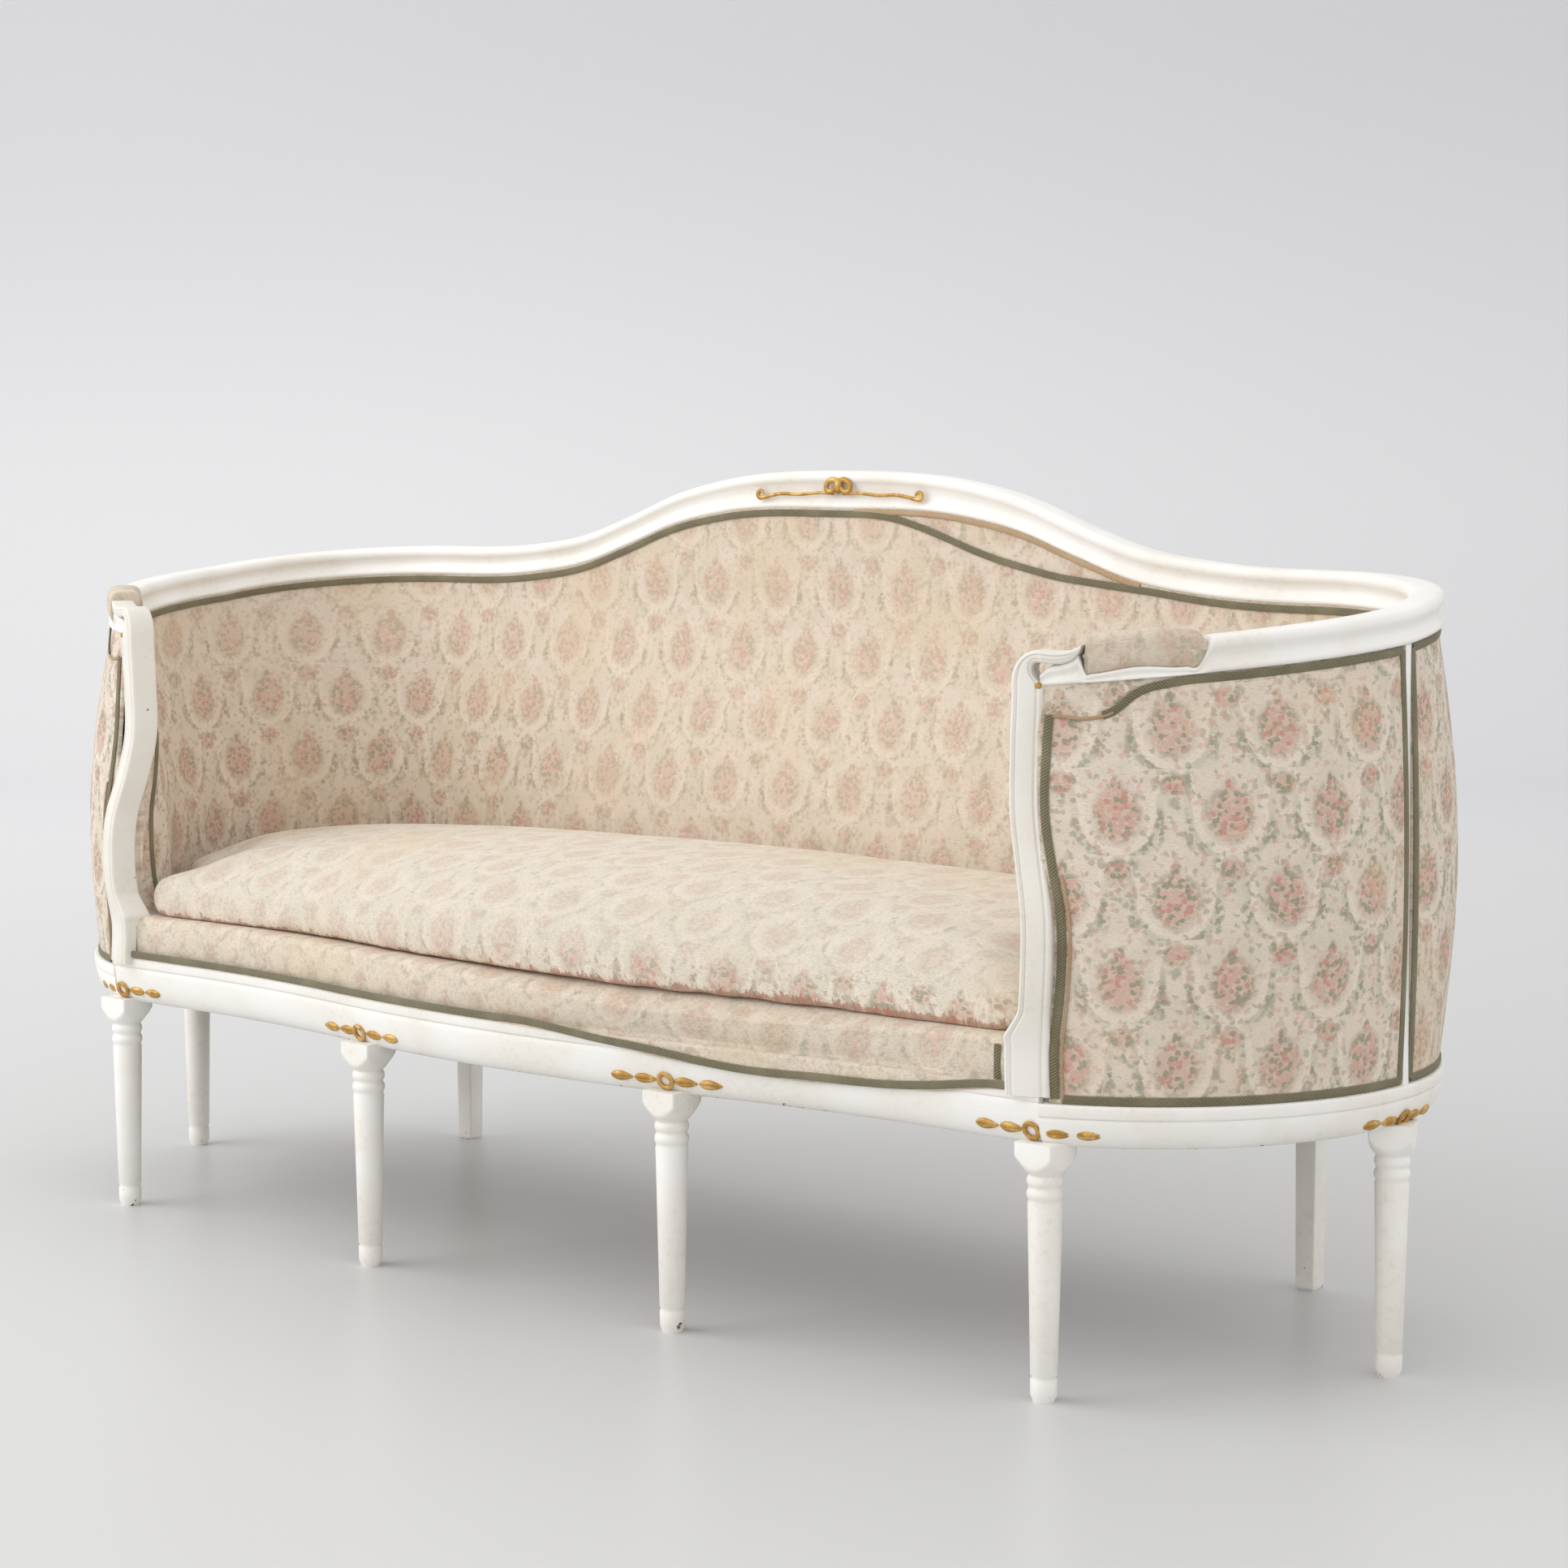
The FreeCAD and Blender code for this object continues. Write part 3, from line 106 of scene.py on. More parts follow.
TOP_START = -np.arcsin(TOP_DEPTH / TOP_SIDE_RADIUS)
BOW_RADIUS = (BOW_HALF_LENGTH ** 2 + BOW_DEPTH ** 2) / (4 * BOW_DEPTH)
DEPTH_MIDDLE = (CREST_Y + CREST_THICKNESS / 2 - BOW_DEPTH - RAIL_OUT) / 2
SIDE_TURN = np.pi / 2 + SIDE_START
RING_END = 5.0
METRES = 0.001
WALL_HEIGHT = ARM_TOP_FRONT - RAIL_BOTTOM
SIDE_LENGTH = SIDE_RADIUS * -SIDE_START
CORNER_LENGTH = CORNER_RADIUS * np.pi / 2
BRAID_WIDTH = 9.0
SIDES = (("right", 1), ("left", -1))
UP = np.array([0.0, 0.0, 1.0])


def mix(low, high, share):
    return low + (high - low) * share


def ease(share):
    """A rise from 0 to 1 that starts and ends level: 3 s squared less 2 s cubed."""
    share = np.clip(share, 0, 1)
    return share * share * (3 - 2 * share)


def bump(share):
    """A rounded hump over 0 to 1, nothing outside: sine squared."""
    return np.where((share > 0) & (share < 1), np.sin(np.pi * share) ** 2, 0.0)


def hermite(x, knots, values):
    """Smooth curve through knots: cubic pieces whose slopes are the knots' mean slopes."""
    knots, values = np.array(knots), np.array(values)
    slopes = np.gradient(values, knots)
    slopes[[0, -1]] = 0
    x = np.clip(x, knots[0], knots[-1])
    low = np.clip(np.searchsorted(knots, x, side="right") - 1, 0, len(knots) - 2)
    run = knots[low + 1] - knots[low]
    s = (x - knots[low]) / run
    start = values[low] * (1 + 2 * s) * (1 - s) ** 2 + slopes[low] * run * s * (1 - s) ** 2
    end = values[low + 1] * s * s * (3 - 2 * s) + slopes[low + 1] * run * s * s * (s - 1)
    return start + end


def level_point(x, y):
    """Points on the ground from arrays of x and y."""
    return np.stack([x, y, 0 * x], -1)


def unit(turn):
    """Level direction at an angle from the x axis."""
    turn = np.asarray(turn, float)
    return level_point(np.cos(turn), np.sin(turn))


def travel(points):
    """Length walked along the first direction of an array of points, from 0."""
    steps = np.linalg.norm(np.diff(points, axis=0), axis=-1)
    return np.concatenate([0 * steps[:1], np.cumsum(steps, axis=0)])


def girth(points):
    """Length walked round each ring of points."""
    return travel(points.swapaxes(0, 1)).T


class Ring:
    """Places on the wall line, from the right arm post (0) round to the left one (5).

    Side 0 to 1, corner 1 to 2, back 2 to 3, then the same mirrored. A place has a foot on
    the seat ring, an outward normal, and a head on the upper ring that the wall leans to.
    """

    def __init__(self, t):
        t = np.asarray(t, float)
        self.t = t
        self.mirror = np.where(t > RING_END / 2, -1.0, 1.0)
        s = np.where(t > RING_END / 2, RING_END - t, t)
        self.s = s
        side = s < 1
        corner = np.clip(s - 1, 0, 1)
        turn = np.where(side, SIDE_START * (1 - s), np.pi / 2 * corner)
        top_turn = np.where(side, TOP_START * (1 - s), turn)
        back = np.clip(s - 2, 0, 1)
        radius = np.where(side, SIDE_RADIUS, CORNER_RADIUS)
        top_radius = np.where(side, TOP_SIDE_RADIUS, TOP_CORNER_RADIUS)
        x = np.where(side, SIDE_CENTRE_X, CORNER_X * (1 - 2 * back))
        top_x = np.where(side, TOP_SIDE_X, TOP_CORNER_X * (1 - 2 * back))
        self.normal = unit(turn)
        self.foot = self.normal * radius[..., None] + level_point(x, 0 * x + SIDE_LEG_Y)
        self.head = (unit(top_turn) * top_radius[..., None]
                     + level_point(top_x, 0 * x + TOP_CENTRE_Y))
        hump_x = self.head[..., 0] / TOP_CORNER_X
        rise = hermite(hump_x, CREST_X_SHARES, CREST_RISE_SHARES)
        depth = hermite(hump_x, CREST_X_SHARES, CREST_DEPTH_SHARES)
        arm = mix(ARM_TOP_FRONT, ARM_TOP_REAR, s)
        shoulder = mix(ARM_TOP_REAR, SHOULDER_TOP, corner * (2 - corner))
        hump = mix(SHOULDER_TOP, CREST_TOP, rise)
        self.top = np.where(side, arm, np.where(s < 2, shoulder, hump))
        rail = mix(ARM_RAIL_HEIGHT, SHOULDER_HEIGHT, corner)
        self.under = self.top - np.where(s < 2, rail, mix(SHOULDER_HEIGHT, CREST_HEIGHT, depth))
        self.half_width = mix(ARM_RAIL_WIDTH, CREST_THICKNESS, ease(corner)) / 2
        lean = self.head - self.foot
        self.along = level_point(-self.normal[..., 1], self.normal[..., 0])
        self.lean_out = (lean * self.normal).sum(-1)
        self.lean_along = (lean * self.along).sum(-1)
        self.outward = self.normal * np.stack([self.mirror, 0 * x + 1, 0 * x], -1)

    def line(self, z):
        """Offset of the leaning wall line from the seat ring at height z."""
        return self.lean_out * (z - RAIL_BOTTOM) / WALL_HEIGHT

    def point(self, offset, z):
        """Points at an outward offset from the seat ring and a height."""
        along = self.lean_along * (z - RAIL_BOTTOM) / WALL_HEIGHT
        flat = self.foot + self.normal * np.asarray(offset)[..., None]
        flat = flat + self.along * np.asarray(along)[..., None]
        return self.flipped(flat, z)

    def flipped(self, flat, z):
        flat = np.array(flat)
        flat[..., 0] *= self.mirror
        flat[..., 2] = z
        return flat


def ring_length(t):
    """Length along the seat ring up to place t, worked out piece by piece."""
    lengths = [SIDE_LENGTH, CORNER_LENGTH, 2 * CORNER_X, CORNER_LENGTH, SIDE_LENGTH]
    return np.interp(t, np.arange(6), np.concatenate([[0], np.cumsum(lengths)]))


def front_y(x):
    """Front leg line: a bow forward between two hollows, all arcs of one radius."""
    x = np.abs(np.asarray(x, float))
    half = BOW_HALF_LENGTH / 2
    hollow = np.clip(BOW_HALF_LENGTH - x, 0, half)
    outer = -(BOW_RADIUS - np.sqrt(BOW_RADIUS ** 2 - hollow ** 2))
    middle = np.clip(x, 0, half)
    inner = -BOW_DEPTH + BOW_RADIUS - np.sqrt(BOW_RADIUS ** 2 - middle ** 2)
    return np.where(x > half, outer, inner)


# Meshes

def mesh_piece(name, points, faces, uv=None, wear=None, body="sofa"):
    """Object from points in plan millimetres; uv is given per face corner, wear per point."""
    place = np.array(points, float).reshape(-1, 3)
    place[:, 1] -= DEPTH_MIDDLE
    mesh = bpy.data.meshes.new(name)
    mesh.from_pydata((place * METRES).tolist(), [], faces)
    if uv is not None:
        layer = mesh.uv_layers.new(name="cloth")
        layer.data.foreach_set("uv", (np.array(uv, float) * METRES).ravel())
    if wear is not None:
        layer = mesh.attributes.new("wear", "FLOAT", "POINT")
        layer.data.foreach_set("value", np.array(wear, float).ravel())
    mesh.polygons.foreach_set("use_smooth", np.ones(len(mesh.polygons), dtype=bool))
    mesh.update()
    piece = bpy.data.objects.new(name, mesh)
    bpy.context.scene.collection.objects.link(piece)
    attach(piece, body)
    return piece


def loft(name, rings, uv=None, wear=None, body="sofa", caps=True):
    """Closed skin over rings of corners, an array (rings, corners, 3), with fans on both ends.

    uv has one column more than the corners, for the seam where each ring closes; a map
    with as many columns as corners gets its last column twice.
    """
    count, corners = rings.shape[:2]
    points = rings.reshape(-1, 3)
    ring = np.arange(count - 1)[:, None] * corners
    corner = np.arange(corners)
    after = (corner + 1) % corners
    quads = np.stack([ring + corner, ring + after, ring + corners + after,
                      ring + corners + corner], -1).reshape(-1, 4)
    end = (count - 1) * corners
    fans = np.stack([np.stack([0 * corner + count * corners, after, corner], -1),
                     np.stack([0 * corner + count * corners + 1, end + corner, end + after], -1)])
    fans = fans.reshape(-1, 3)
    flat = None
    if uv is not None:
        uv = np.array(uv, float)
        if uv.shape[1] == corners:
            uv = np.concatenate([uv, uv[:, -1:]], 1)
        quad_uv = np.stack([uv[:-1, :-1], uv[:-1, 1:], uv[1:, 1:], uv[1:, :-1]], 2)
        middle = uv[[0, -1], :-1].mean(1)[:, None] + 0 * uv[[0, -1], 1:]
        fan_uv = np.stack([middle, np.stack([uv[0, 1:], uv[-1, :-1]]),
                           np.stack([uv[0, :-1], uv[-1, 1:]])], 2)
        flat = [quad_uv.reshape(-1, 4, 2), fan_uv.reshape(-1, 3, 2)]
    spread = points - points.mean(0)
    a, b, c, d = (spread[quads[:, k]] for k in range(4))
    if (np.cross(b - a, c - a) * a + np.cross(c - a, d - a) * a).sum() < 0:
        quads, fans = quads[:, ::-1], fans[:, ::-1]
        flat = flat and [part[:, ::-1] for part in flat]
    faces = quads.tolist()
    if caps:
        points = np.concatenate([points, rings[[0, -1]].mean(1)])
        faces += fans.tolist()
        if wear is not None:
            wear = np.concatenate([np.ravel(wear), np.asarray(wear)[[0, -1]].mean(1)])
    if flat is not None:
        flat = np.concatenate([part.reshape(-1, 2) for part in flat[:1 + caps]])
    piece = mesh_piece(name, points, faces, flat, wear, body)
    if caps:
        sharpen_rims(piece.data, corners, count)
    return piece


def sharpen_rims(mesh, corners, count):
    """Mark the edges round both end caps sharp, so the long faces shade evenly there."""
    ends = np.empty(2 * len(mesh.edges), dtype=np.int32)
    mesh.edges.foreach_get("vertices", ends)
    ring = ends.reshape(-1, 2) // corners
    rim = (ring[:, 0] == ring[:, 1]) & np.isin(ring[:, 0], (0, count - 1))
    sharp = mesh.attributes.new("sharp_edge", "BOOLEAN", "EDGE")
    sharp.data.foreach_set("value", rim)


def swept(place, across, up, section):
    """Rings of a section (.., corners, 2) carried along places with two cross directions."""
    across, up = np.broadcast_to(across, place.shape), np.broadcast_to(up, place.shape)
    return place[:, None] + across[:, None] * section[..., :1] + up[:, None] * section[..., 1:]


def front_line(half_length, count):
    """Even places along the bowed front line, with its outward direction at each."""
    x = np.linspace(-half_length, half_length, count)
    slope = np.gradient(front_y(x), x)
    return x, level_point(x, front_y(x)), unit(np.arctan(slope) - np.pi / 2)


def cloth_map(points, places):
    """Cloth map of rings of points: places along the piece, and the way round each ring."""
    round_way = girth(points)
    return np.stack([np.broadcast_to(places[:, None], round_way.shape), round_way], -1)


def point_array(mesh):
    """Every point of a mesh, as rows in metres."""
    place = np.empty(3 * len(mesh.vertices))
    mesh.vertices.foreach_get("co", place)
    return place.reshape(-1, 3)


def move_points(mesh, place):
    mesh.vertices.foreach_set("co", place.ravel())
    mesh.update()


def rounded_box(half_wide, half_high, radius, steps=6):
    """Outline of a rectangle with quarter-circle corners, sizes may be arrays per ring."""
    half_wide, half_high, radius = (np.asarray(v, float)[..., None]
                                    for v in (half_wide, half_high, radius))
    turn = np.linspace(0, np.pi / 2, steps)
    turns = np.concatenate([turn + quarter * np.pi / 2 for quarter in range(4)])
    sign_x = np.repeat([1, -1, -1, 1], steps)
    sign_y = np.repeat([1, 1, -1, -1], steps)
    x = sign_x * (half_wide - radius) + radius * np.cos(turns)
    y = sign_y * (half_high - radius) + radius * np.sin(turns)
    return np.stack(np.broadcast_arrays(x, y), -1)


def dress(piece, material, slot, *nodes):
    """Give a piece its material, and let it stand for CAD nodes; the finish slot is not used."""
    piece.data.materials.append(material)
    if nodes:
        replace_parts(piece, *nodes)
    return piece


# Materials

class Nodes:
    """A material's nodes, with short calls that add one node and return its wires."""

    def __init__(self, name):
        self.material = bpy.data.materials.new(name)
        self.material.use_nodes = True
        self.tree = self.material.node_tree

    def add(self, kind, inputs=(), output=0, **settings):
        """One node; the wire of one output, or all of them when output is None."""
        node = self.tree.nodes.new(kind)
        for key, value in settings.items():
            setattr(node, key, value)
        for key, value in dict(inputs).items():
            self.put(node.inputs[key], value)
        wires = [Wire(self, socket) for socket in node.outputs]
        return wires if output is None else wires[output]

    def put(self, socket, value):
        if isinstance(value, Wire):
            self.tree.links.new(value.socket, socket)
        elif value is not None:
            socket.default_value = value

    def place(self):
        return self.add("ShaderNodeTexCoord", output=3)

    def cloth(self):
        return self.add("ShaderNodeUVMap", uv_map="cloth")

    def parts(self, vector):
        return self.add("ShaderNodeSeparateXYZ", {0: vector}, None)

    def vector(self, operation, first, second):
        return self.add("ShaderNodeVectorMath", {0: first, 1: second}, operation=operation)

    def noise(self, vector, scale, detail=2.0, rough=0.5, output=0):
        inputs = {"Vector": vector, "Scale": scale, "Detail": detail, "Roughness": rough}
        return self.add("ShaderNodeTexNoise", inputs, output)

    def waves(self, vector, scale, distortion, direction="X"):
        inputs = {"Vector": vector, "Scale": scale, "Distortion": distortion}
        return self.add("ShaderNodeTexWave", inputs, 1, bands_direction=direction)

    def blend(self, share, first, second):
        return self.add("ShaderNodeMix", {0: share, 6: first, 7: second}, 2, data_type="RGBA")

    def finish(self, colour, rough, height=None, depth=0.001, **fixed):
        shader = self.tree.nodes["Principled BSDF"]
        self.put(shader.inputs["Base Color"], colour)
        self.put(shader.inputs["Roughness"], rough)
        for key, value in fixed.items():
            shader.inputs[key.replace("_", " ")].default_value = value
        if height is not None:
            normal = self.add("ShaderNodeBump", {"Height": height, "Distance": depth})
            self.put(shader.inputs["Normal"], normal)
        return self.material


class Wire:
    """One shader value; sums, differences, products and quotients of it are math nodes."""

    def __init__(self, nodes, socket):
        self.nodes, self.socket = nodes, socket

    def math(self, operation, other=None, first=None):
        values = {0: self if first is None else first, 1: self if first is not None else other}
        return self.nodes.add("ShaderNodeMath", values, operation=operation)

    def __add__(self, other):
        return self.math("ADD", other)

    def __mul__(self, other):
        return self.math("MULTIPLY", other)

    def __sub__(self, other):
        return self.math("SUBTRACT", other)

    def __rsub__(self, other):
        return self.math("SUBTRACT", first=other)

    def __truediv__(self, other):
        return self.math("DIVIDE", other)

    def step(self, low, high):
        """Smooth rise of the value from low to high as 0 to 1; low may be above high."""
        inputs = {"Value": self, "From Min": low, "From Max": high}
        return self.nodes.add("ShaderNodeMapRange", inputs, interpolation_type="SMOOTHSTEP")


def far(x, y):
    """Distance of the point (x, y) from the origin."""
    return (x * x + y * y).math("SQRT")


def oval(x, y, middle, radii, soft=0.25):
    """Mask that is 1 inside an oval and fades over its edge."""
    return far((x - middle[0]) / radii[0], (y - middle[1]) / radii[1]).step(1 + soft, 1 - soft)


def rgb(red, green, blue):
    """Colour from 0 to 255 screen values, made linear."""
    share = np.array([red, green, blue]) / 255
    linear = np.where(share > 0.04045, ((share + 0.055) / 1.055) ** 2.4, share / 12.92)
    return tuple(float(value) for value in linear) + (1.0,)


def shade(colour, red, green, blue):
    """A colour with its three screen values moved."""
    return rgb(colour[0] + red, colour[1] + green, colour[2] + blue)


def paint_material(name="old_white_paint", colour=(243, 241, 237)):
    """Old white oil paint: faint mottling, dust in hollows, brown chips on worn edges."""
    n = Nodes(name)
    place = n.place()
    wear = n.add("ShaderNodeAttribute", attribute_name="wear", output=2)
    cloud = n.noise(place, 9.0, 3.0)
    fine = n.noise(place, 140.0, 3.0)
    grain = n.noise(n.vector("MULTIPLY", place, (90.0, 90.0, 500.0)), 1.0, 2.0)
    base = n.blend(cloud.step(0.35, 0.65), rgb(*colour), shade(colour, -6, -8, -12))
    dust = fine.step(0.5, 0.75) * cloud.step(0.45, 0.6)
    base = n.blend(dust * 0.22, base, rgb(200, 192, 174))
    chip = (n.noise(place, 65.0, 5.0, 0.7) + wear * 0.185).step(0.765, 0.785)
    bare = n.blend(fine.step(0.4, 0.6), rgb(150, 118, 84), rgb(104, 76, 50))
    height = grain * 0.25 + chip * -1.2 + fine * 0.3
    return n.finish(n.blend(chip, base, bare), cloud * 0.2 + 0.42, height, 0.0006)


REPEAT_WIDE = 105.0
REPEAT_HIGH = 87.5


def low_front(n, x, y, z):
    """Mask of the cushion's front on the right, where the cloth has kept its colour."""
    return z.step(0.435, 0.41) * x.step(-0.5, 0.8)


def left_corner_painted_shade(n, x, y, z):
    """Mask of the shaded left corner, where the pattern gets nearly its whole colour: painted shade."""
    return x.step(-0.30, -0.72) * z.step(0.80, 0.55) * 0.7


def frayed_edge_and_gap_shade(n, x, y, z):
    """Mask of the cushion's ragged lower edge, of uneven height: loose tufts, and painted shade of the gap
    under it.
    """
    torn = n.noise(n.add("ShaderNodeCombineXYZ", {0: x, 1: y}), 60.0, 4.0, 0.75)
    height = torn.step(0.46, 0.68) * 0.010 + (DECK_TOP * METRES + 0.002)
    return (z - height).step(0.003, 0.0) * torn.step(0.32, 0.5)


def brocade_material(name, ground, strength=1.0, shift=(0.0, 0.0), fresh_and_shaded=None,
                     outline_tone=(178, 178, 158), leaf_tone=(146, 146, 122), rub=0.3, frayed_and_gap_shade=None):
    """Cream brocade: posies hung in pale swags, half a repeat off in every row.

    The cloth's own flat map in metres gives the thread directions. Each repeat has a swag
    shaped like a bowl, leaf strokes under it, an oval posy of small petals and leaves in
    it, and a small flower with buds between the posies. The petals are the cells of a
    Voronoi pattern, each with its own picked tone. The strength says how much colour is
    left in the faded cloth; where the given mask reaches, the whole colour is: unfaded
    cloth on the cushion's front, painted shade in the inside walls' left corner.
    """
    n = Nodes(name)
    flat = n.cloth()
    u, v = n.parts(flat)[:2]
    wobble = n.parts(n.noise(flat, 60.0, 3.0, 0.6, output=1))
    u = u * 1000.0 + shift[0] + (wobble[0] - 0.5) * 7.0
    v = v * 1000.0 + shift[1] + (wobble[1] - 0.5) * 7.0
    row = (v / REPEAT_HIGH).math("FLOOR")
    across = u / REPEAT_WIDE + row.math("ABSOLUTE").math("MODULO", 2.0) * 0.5
    x = (across.math("FRACT") - 0.5) * REPEAT_WIDE
    y = ((v / REPEAT_HIGH).math("FRACT") - 0.5) * REPEAT_HIGH
    between = REPEAT_WIDE / 2 - x.math("ABSOLUTE")
    cell = n.add("ShaderNodeCombineXYZ", {0: across.math("FLOOR"), 1: row})
    pick = n.add("ShaderNodeTexWhiteNoise", {"Vector": cell}, noise_dimensions="3D")
    loose = n.vector("SUBTRACT", n.noise(flat, 190.0, 2.0, 0.6, output=1), (0.5, 0.5, 0.5))
    loose = n.vector("MULTIPLY", loose, (0.007, 0.007, 0.007))
    inputs = {"Vector": n.vector("ADD", flat, loose), "Scale": 190.0}
    distance, petal_colour = n.add("ShaderNodeTexVoronoi", inputs, None, voronoi_dimensions="2D")[:2]
    petal = distance.step(0.8, 0.42)
    tone, other = n.add("ShaderNodeSeparateColor", {0: petal_colour}, None)[:2]
    place = n.place()
    # The mask raises the pattern to its whole colour: unfaded cloth on the cushion's front, painted shade in
    # the inside walls' left corner.
    force = strength
    if fresh_and_shaded:
        force = fresh_and_shaded(n, *n.parts(place)) * (1.0 - strength) + strength
    rise = y.math("MAXIMUM", 0.0)
    bowl = (x.math("ABSOLUTE") - rise * rise * 0.007) / 33.0
    swag = (1.0 - far(bowl, y.math("MINIMUM", 0.0) / 41.0)) * 37.0
    outline = swag.step(-14.0, -8.0) * swag.step(-2.0, -5.0)
    low = y.step(26.0, -14.0)
    flower = oval(between, y, (0.0, 28.0), (12.0, 11.0), 0.3)
    bouquet = oval(x, y, (0.0, -3.0), (21.0, 28.0)).math("MAXIMUM", oval(x, y, (0.0, 27.0), (5.0, 9.0), 0.4))
    bouquet = bouquet.math("MAXIMUM", flower)
    rim = (1.0 - oval(x, y, (1.0, -6.0), (15.0, 20.0), 0.5)) * (1.0 - flower * 0.7)
    choice = tone + rim * 0.3
    warm = bouquet * petal * choice.step(0.74, 0.66)
    buds = oval(between, y, (0.0, 10.0), (5.0, 6.0), 0.6)
    for middle, radii, soft in (((14.0, 34.0), (5.0, 7.0), 0.6), ((13.5, -20.0), (5.0, 14.0), 0.4)):
        buds = buds.math("MAXIMUM", oval(between, y, middle, radii, soft))
    rose, leaf = rgb(214, 168, 153), rgb(*leaf_tone)
    fleck = n.blend(tone.step(0.45, 0.55), leaf, rose)
    layers = ((outline * (low * 0.65 + 0.35), 0.32, rgb(*outline_tone)),
              (outline * petal * other.step(0.3, 0.5) * (low * 0.8 + 0.2), 0.55, leaf),
              (swag.step(-4.0, -1.5) * swag.step(5.5, 3.0), 0.6, shade(ground, 9, 9, 8)),
              (bouquet, 0.62, shade(ground, -18, -32, -38)),
              (warm * (pick * 0.55 + 0.45), 0.8, rose),
              (warm * other.step(0.66, 0.74), 0.6, rgb(200, 128, 116)),
              (bouquet * petal * choice.step(0.74, 0.80), 0.85, leaf),
              (buds * petal * other.step(0.2, 0.35), 0.6, leaf),
              (petal * other.step(0.72, 0.78) * (1.0 - bouquet), 0.5, fleck))
    colour = n.blend(n.noise(flat, 26.0).step(0.35, 0.65), rgb(*ground), shade(ground, -8, -6, -8))
    for mask, share, tint in layers:
        colour = n.blend(mask * (force * share), colour, tint)
    dashes = n.noise(n.vector("MULTIPLY", flat, (230.0, 520.0, 1.0)), 1.0, 2.0, 0.6).step(0.46, 0.66)
    colour = n.blend(dashes * rub, colour, shade(ground, -26, -34, -44))
    colour = n.blend(n.noise(place, 5.0).step(0.52, 0.72) * 0.3, colour, rgb(228, 204, 166))
    # A reddish-brown band round the cushion's lower edge: ragged tufts of the cloth, and painted shade of the
    # gap under the cushion.
    if frayed_and_gap_shade:
        colour = n.blend(frayed_and_gap_shade(n, *n.parts(place)) * 0.7, colour, rgb(168, 112, 88))
    height = n.waves(flat, 420.0, 1.5, "Y") * 0.3 + bouquet * petal * 0.5 + dashes * -0.4
    height = height + n.noise(flat, 420.0, 3.0, 0.65) * 0.5
    return n.finish(colour, 0.78, height, 0.0006, Sheen_Weight=0.1, Sheen_Roughness=0.5)


def braid_material(name, dark, pale):
    """Woven braid: two shades wound across it, a paler thread on the edges."""
    n = Nodes(name)
    flat = n.cloth()
    twist = n.waves(flat, 190.0, 1.0, "DIAGONAL")
    side = (n.parts(flat)[1] * 1000.0 / BRAID_WIDTH).math("FRACT")
    edge = (side - 0.5).math("ABSOLUTE").step(0.27, 0.4)
    colour = rgb(*dark)
    for share in (twist.step(0.1, 0.9) * 0.45, n.noise(flat, 16.0, 3.0).step(0.4, 0.7) * 0.4, edge * 0.6):
        colour = n.blend(share, colour, rgb(*pale))
    return n.finish(colour, 0.7, twist + n.noise(flat, 500.0, 3.0) * 0.5, 0.0012, Sheen_Weight=0.15)


def gilt_material():
    """Gilding over gesso: warm gold, rubbed pale on the heights and brown in the hollows."""
    n = Nodes("worn_gilding")
    place = n.place()
    patch = n.noise(place, 90.0, 4.0)
    fine = n.noise(place, 700.0)
    colour = n.blend(patch.step(0.35, 0.6), rgb(216, 178, 106), rgb(180, 136, 66))
    colour = n.blend(fine.step(0.55, 0.75) * 0.5, colour, rgb(120, 84, 44))
    return n.finish(colour, patch * 0.25 + 0.32, fine, 0.0004, Metallic=0.55)


def wood_material():
    """Bare pine: long grain from stretched noise."""
    n = Nodes("bare_pine")
    grain = n.noise(n.vector("MULTIPLY", n.place(), (6.0, 90.0, 90.0)), 1.0, 4.0, 0.6)
    colour = n.blend(grain.step(0.35, 0.65), rgb(186, 150, 104), rgb(146, 108, 68))
    return n.finish(colour, 0.65, grain, 0.0008)


def jute_material(name, dark, pale):
    """Plain weave: two sets of threads crossing."""
    n = Nodes(name)
    place = n.place()
    weave = n.waves(place, 260.0, 2.0) * n.waves(place, 260.0, 2.0, "Y")
    return n.finish(n.blend(weave, rgb(*dark), rgb(*pale)), 0.9, weave)


paint = paint_material()
# A darker copy of the white paint for the arm posts: painted shade on their side-facing faces.
shaded_post_paint = paint_material("post_paint_painted_shade", (231, 228, 221))
gilt = gilt_material()
braid = braid_material("olive_braid", (104, 97, 68), (162, 152, 120))
worn_trim = braid_material("worn_trim", (196, 158, 112), (222, 200, 166))
pine = wood_material()
jute = jute_material("jute_webbing", (128, 106, 74), (176, 152, 112))
linen = jute_material("seat_linen", (196, 180, 150), (222, 210, 186))
# The inside walls' pattern is strongest in the left corner: painted shade.
wall_cloth = brocade_material("wall_brocade", (234, 219, 202), 0.5, fresh_and_shaded=left_corner_painted_shade,
                              outline_tone=(206, 188, 164), leaf_tone=(160, 146, 116))
back_cloth = brocade_material("outside_brocade", (233, 219, 203), 1.0, (22.0, 30.0))
# The cushion's cloth gets a reddish-brown lower edge: loose tufts, and painted shade of the gap under it.
cushion_cloth = brocade_material("cushion_brocade", (238, 227, 212), 0.3, (10.0, 12.0), fresh_and_shaded=low_front,
                                 outline_tone=(206, 190, 168), rub=0.55, frayed_and_gap_shade=frayed_edge_and_gap_shade)
band_cloth = brocade_material("band_brocade", (231, 218, 200), 0.45, (30.0, 40.0), rub=0.6)
pad_cloth = brocade_material("pad_brocade", (224, 209, 190), 0.42, (12.0, 25.0), rub=0.4)


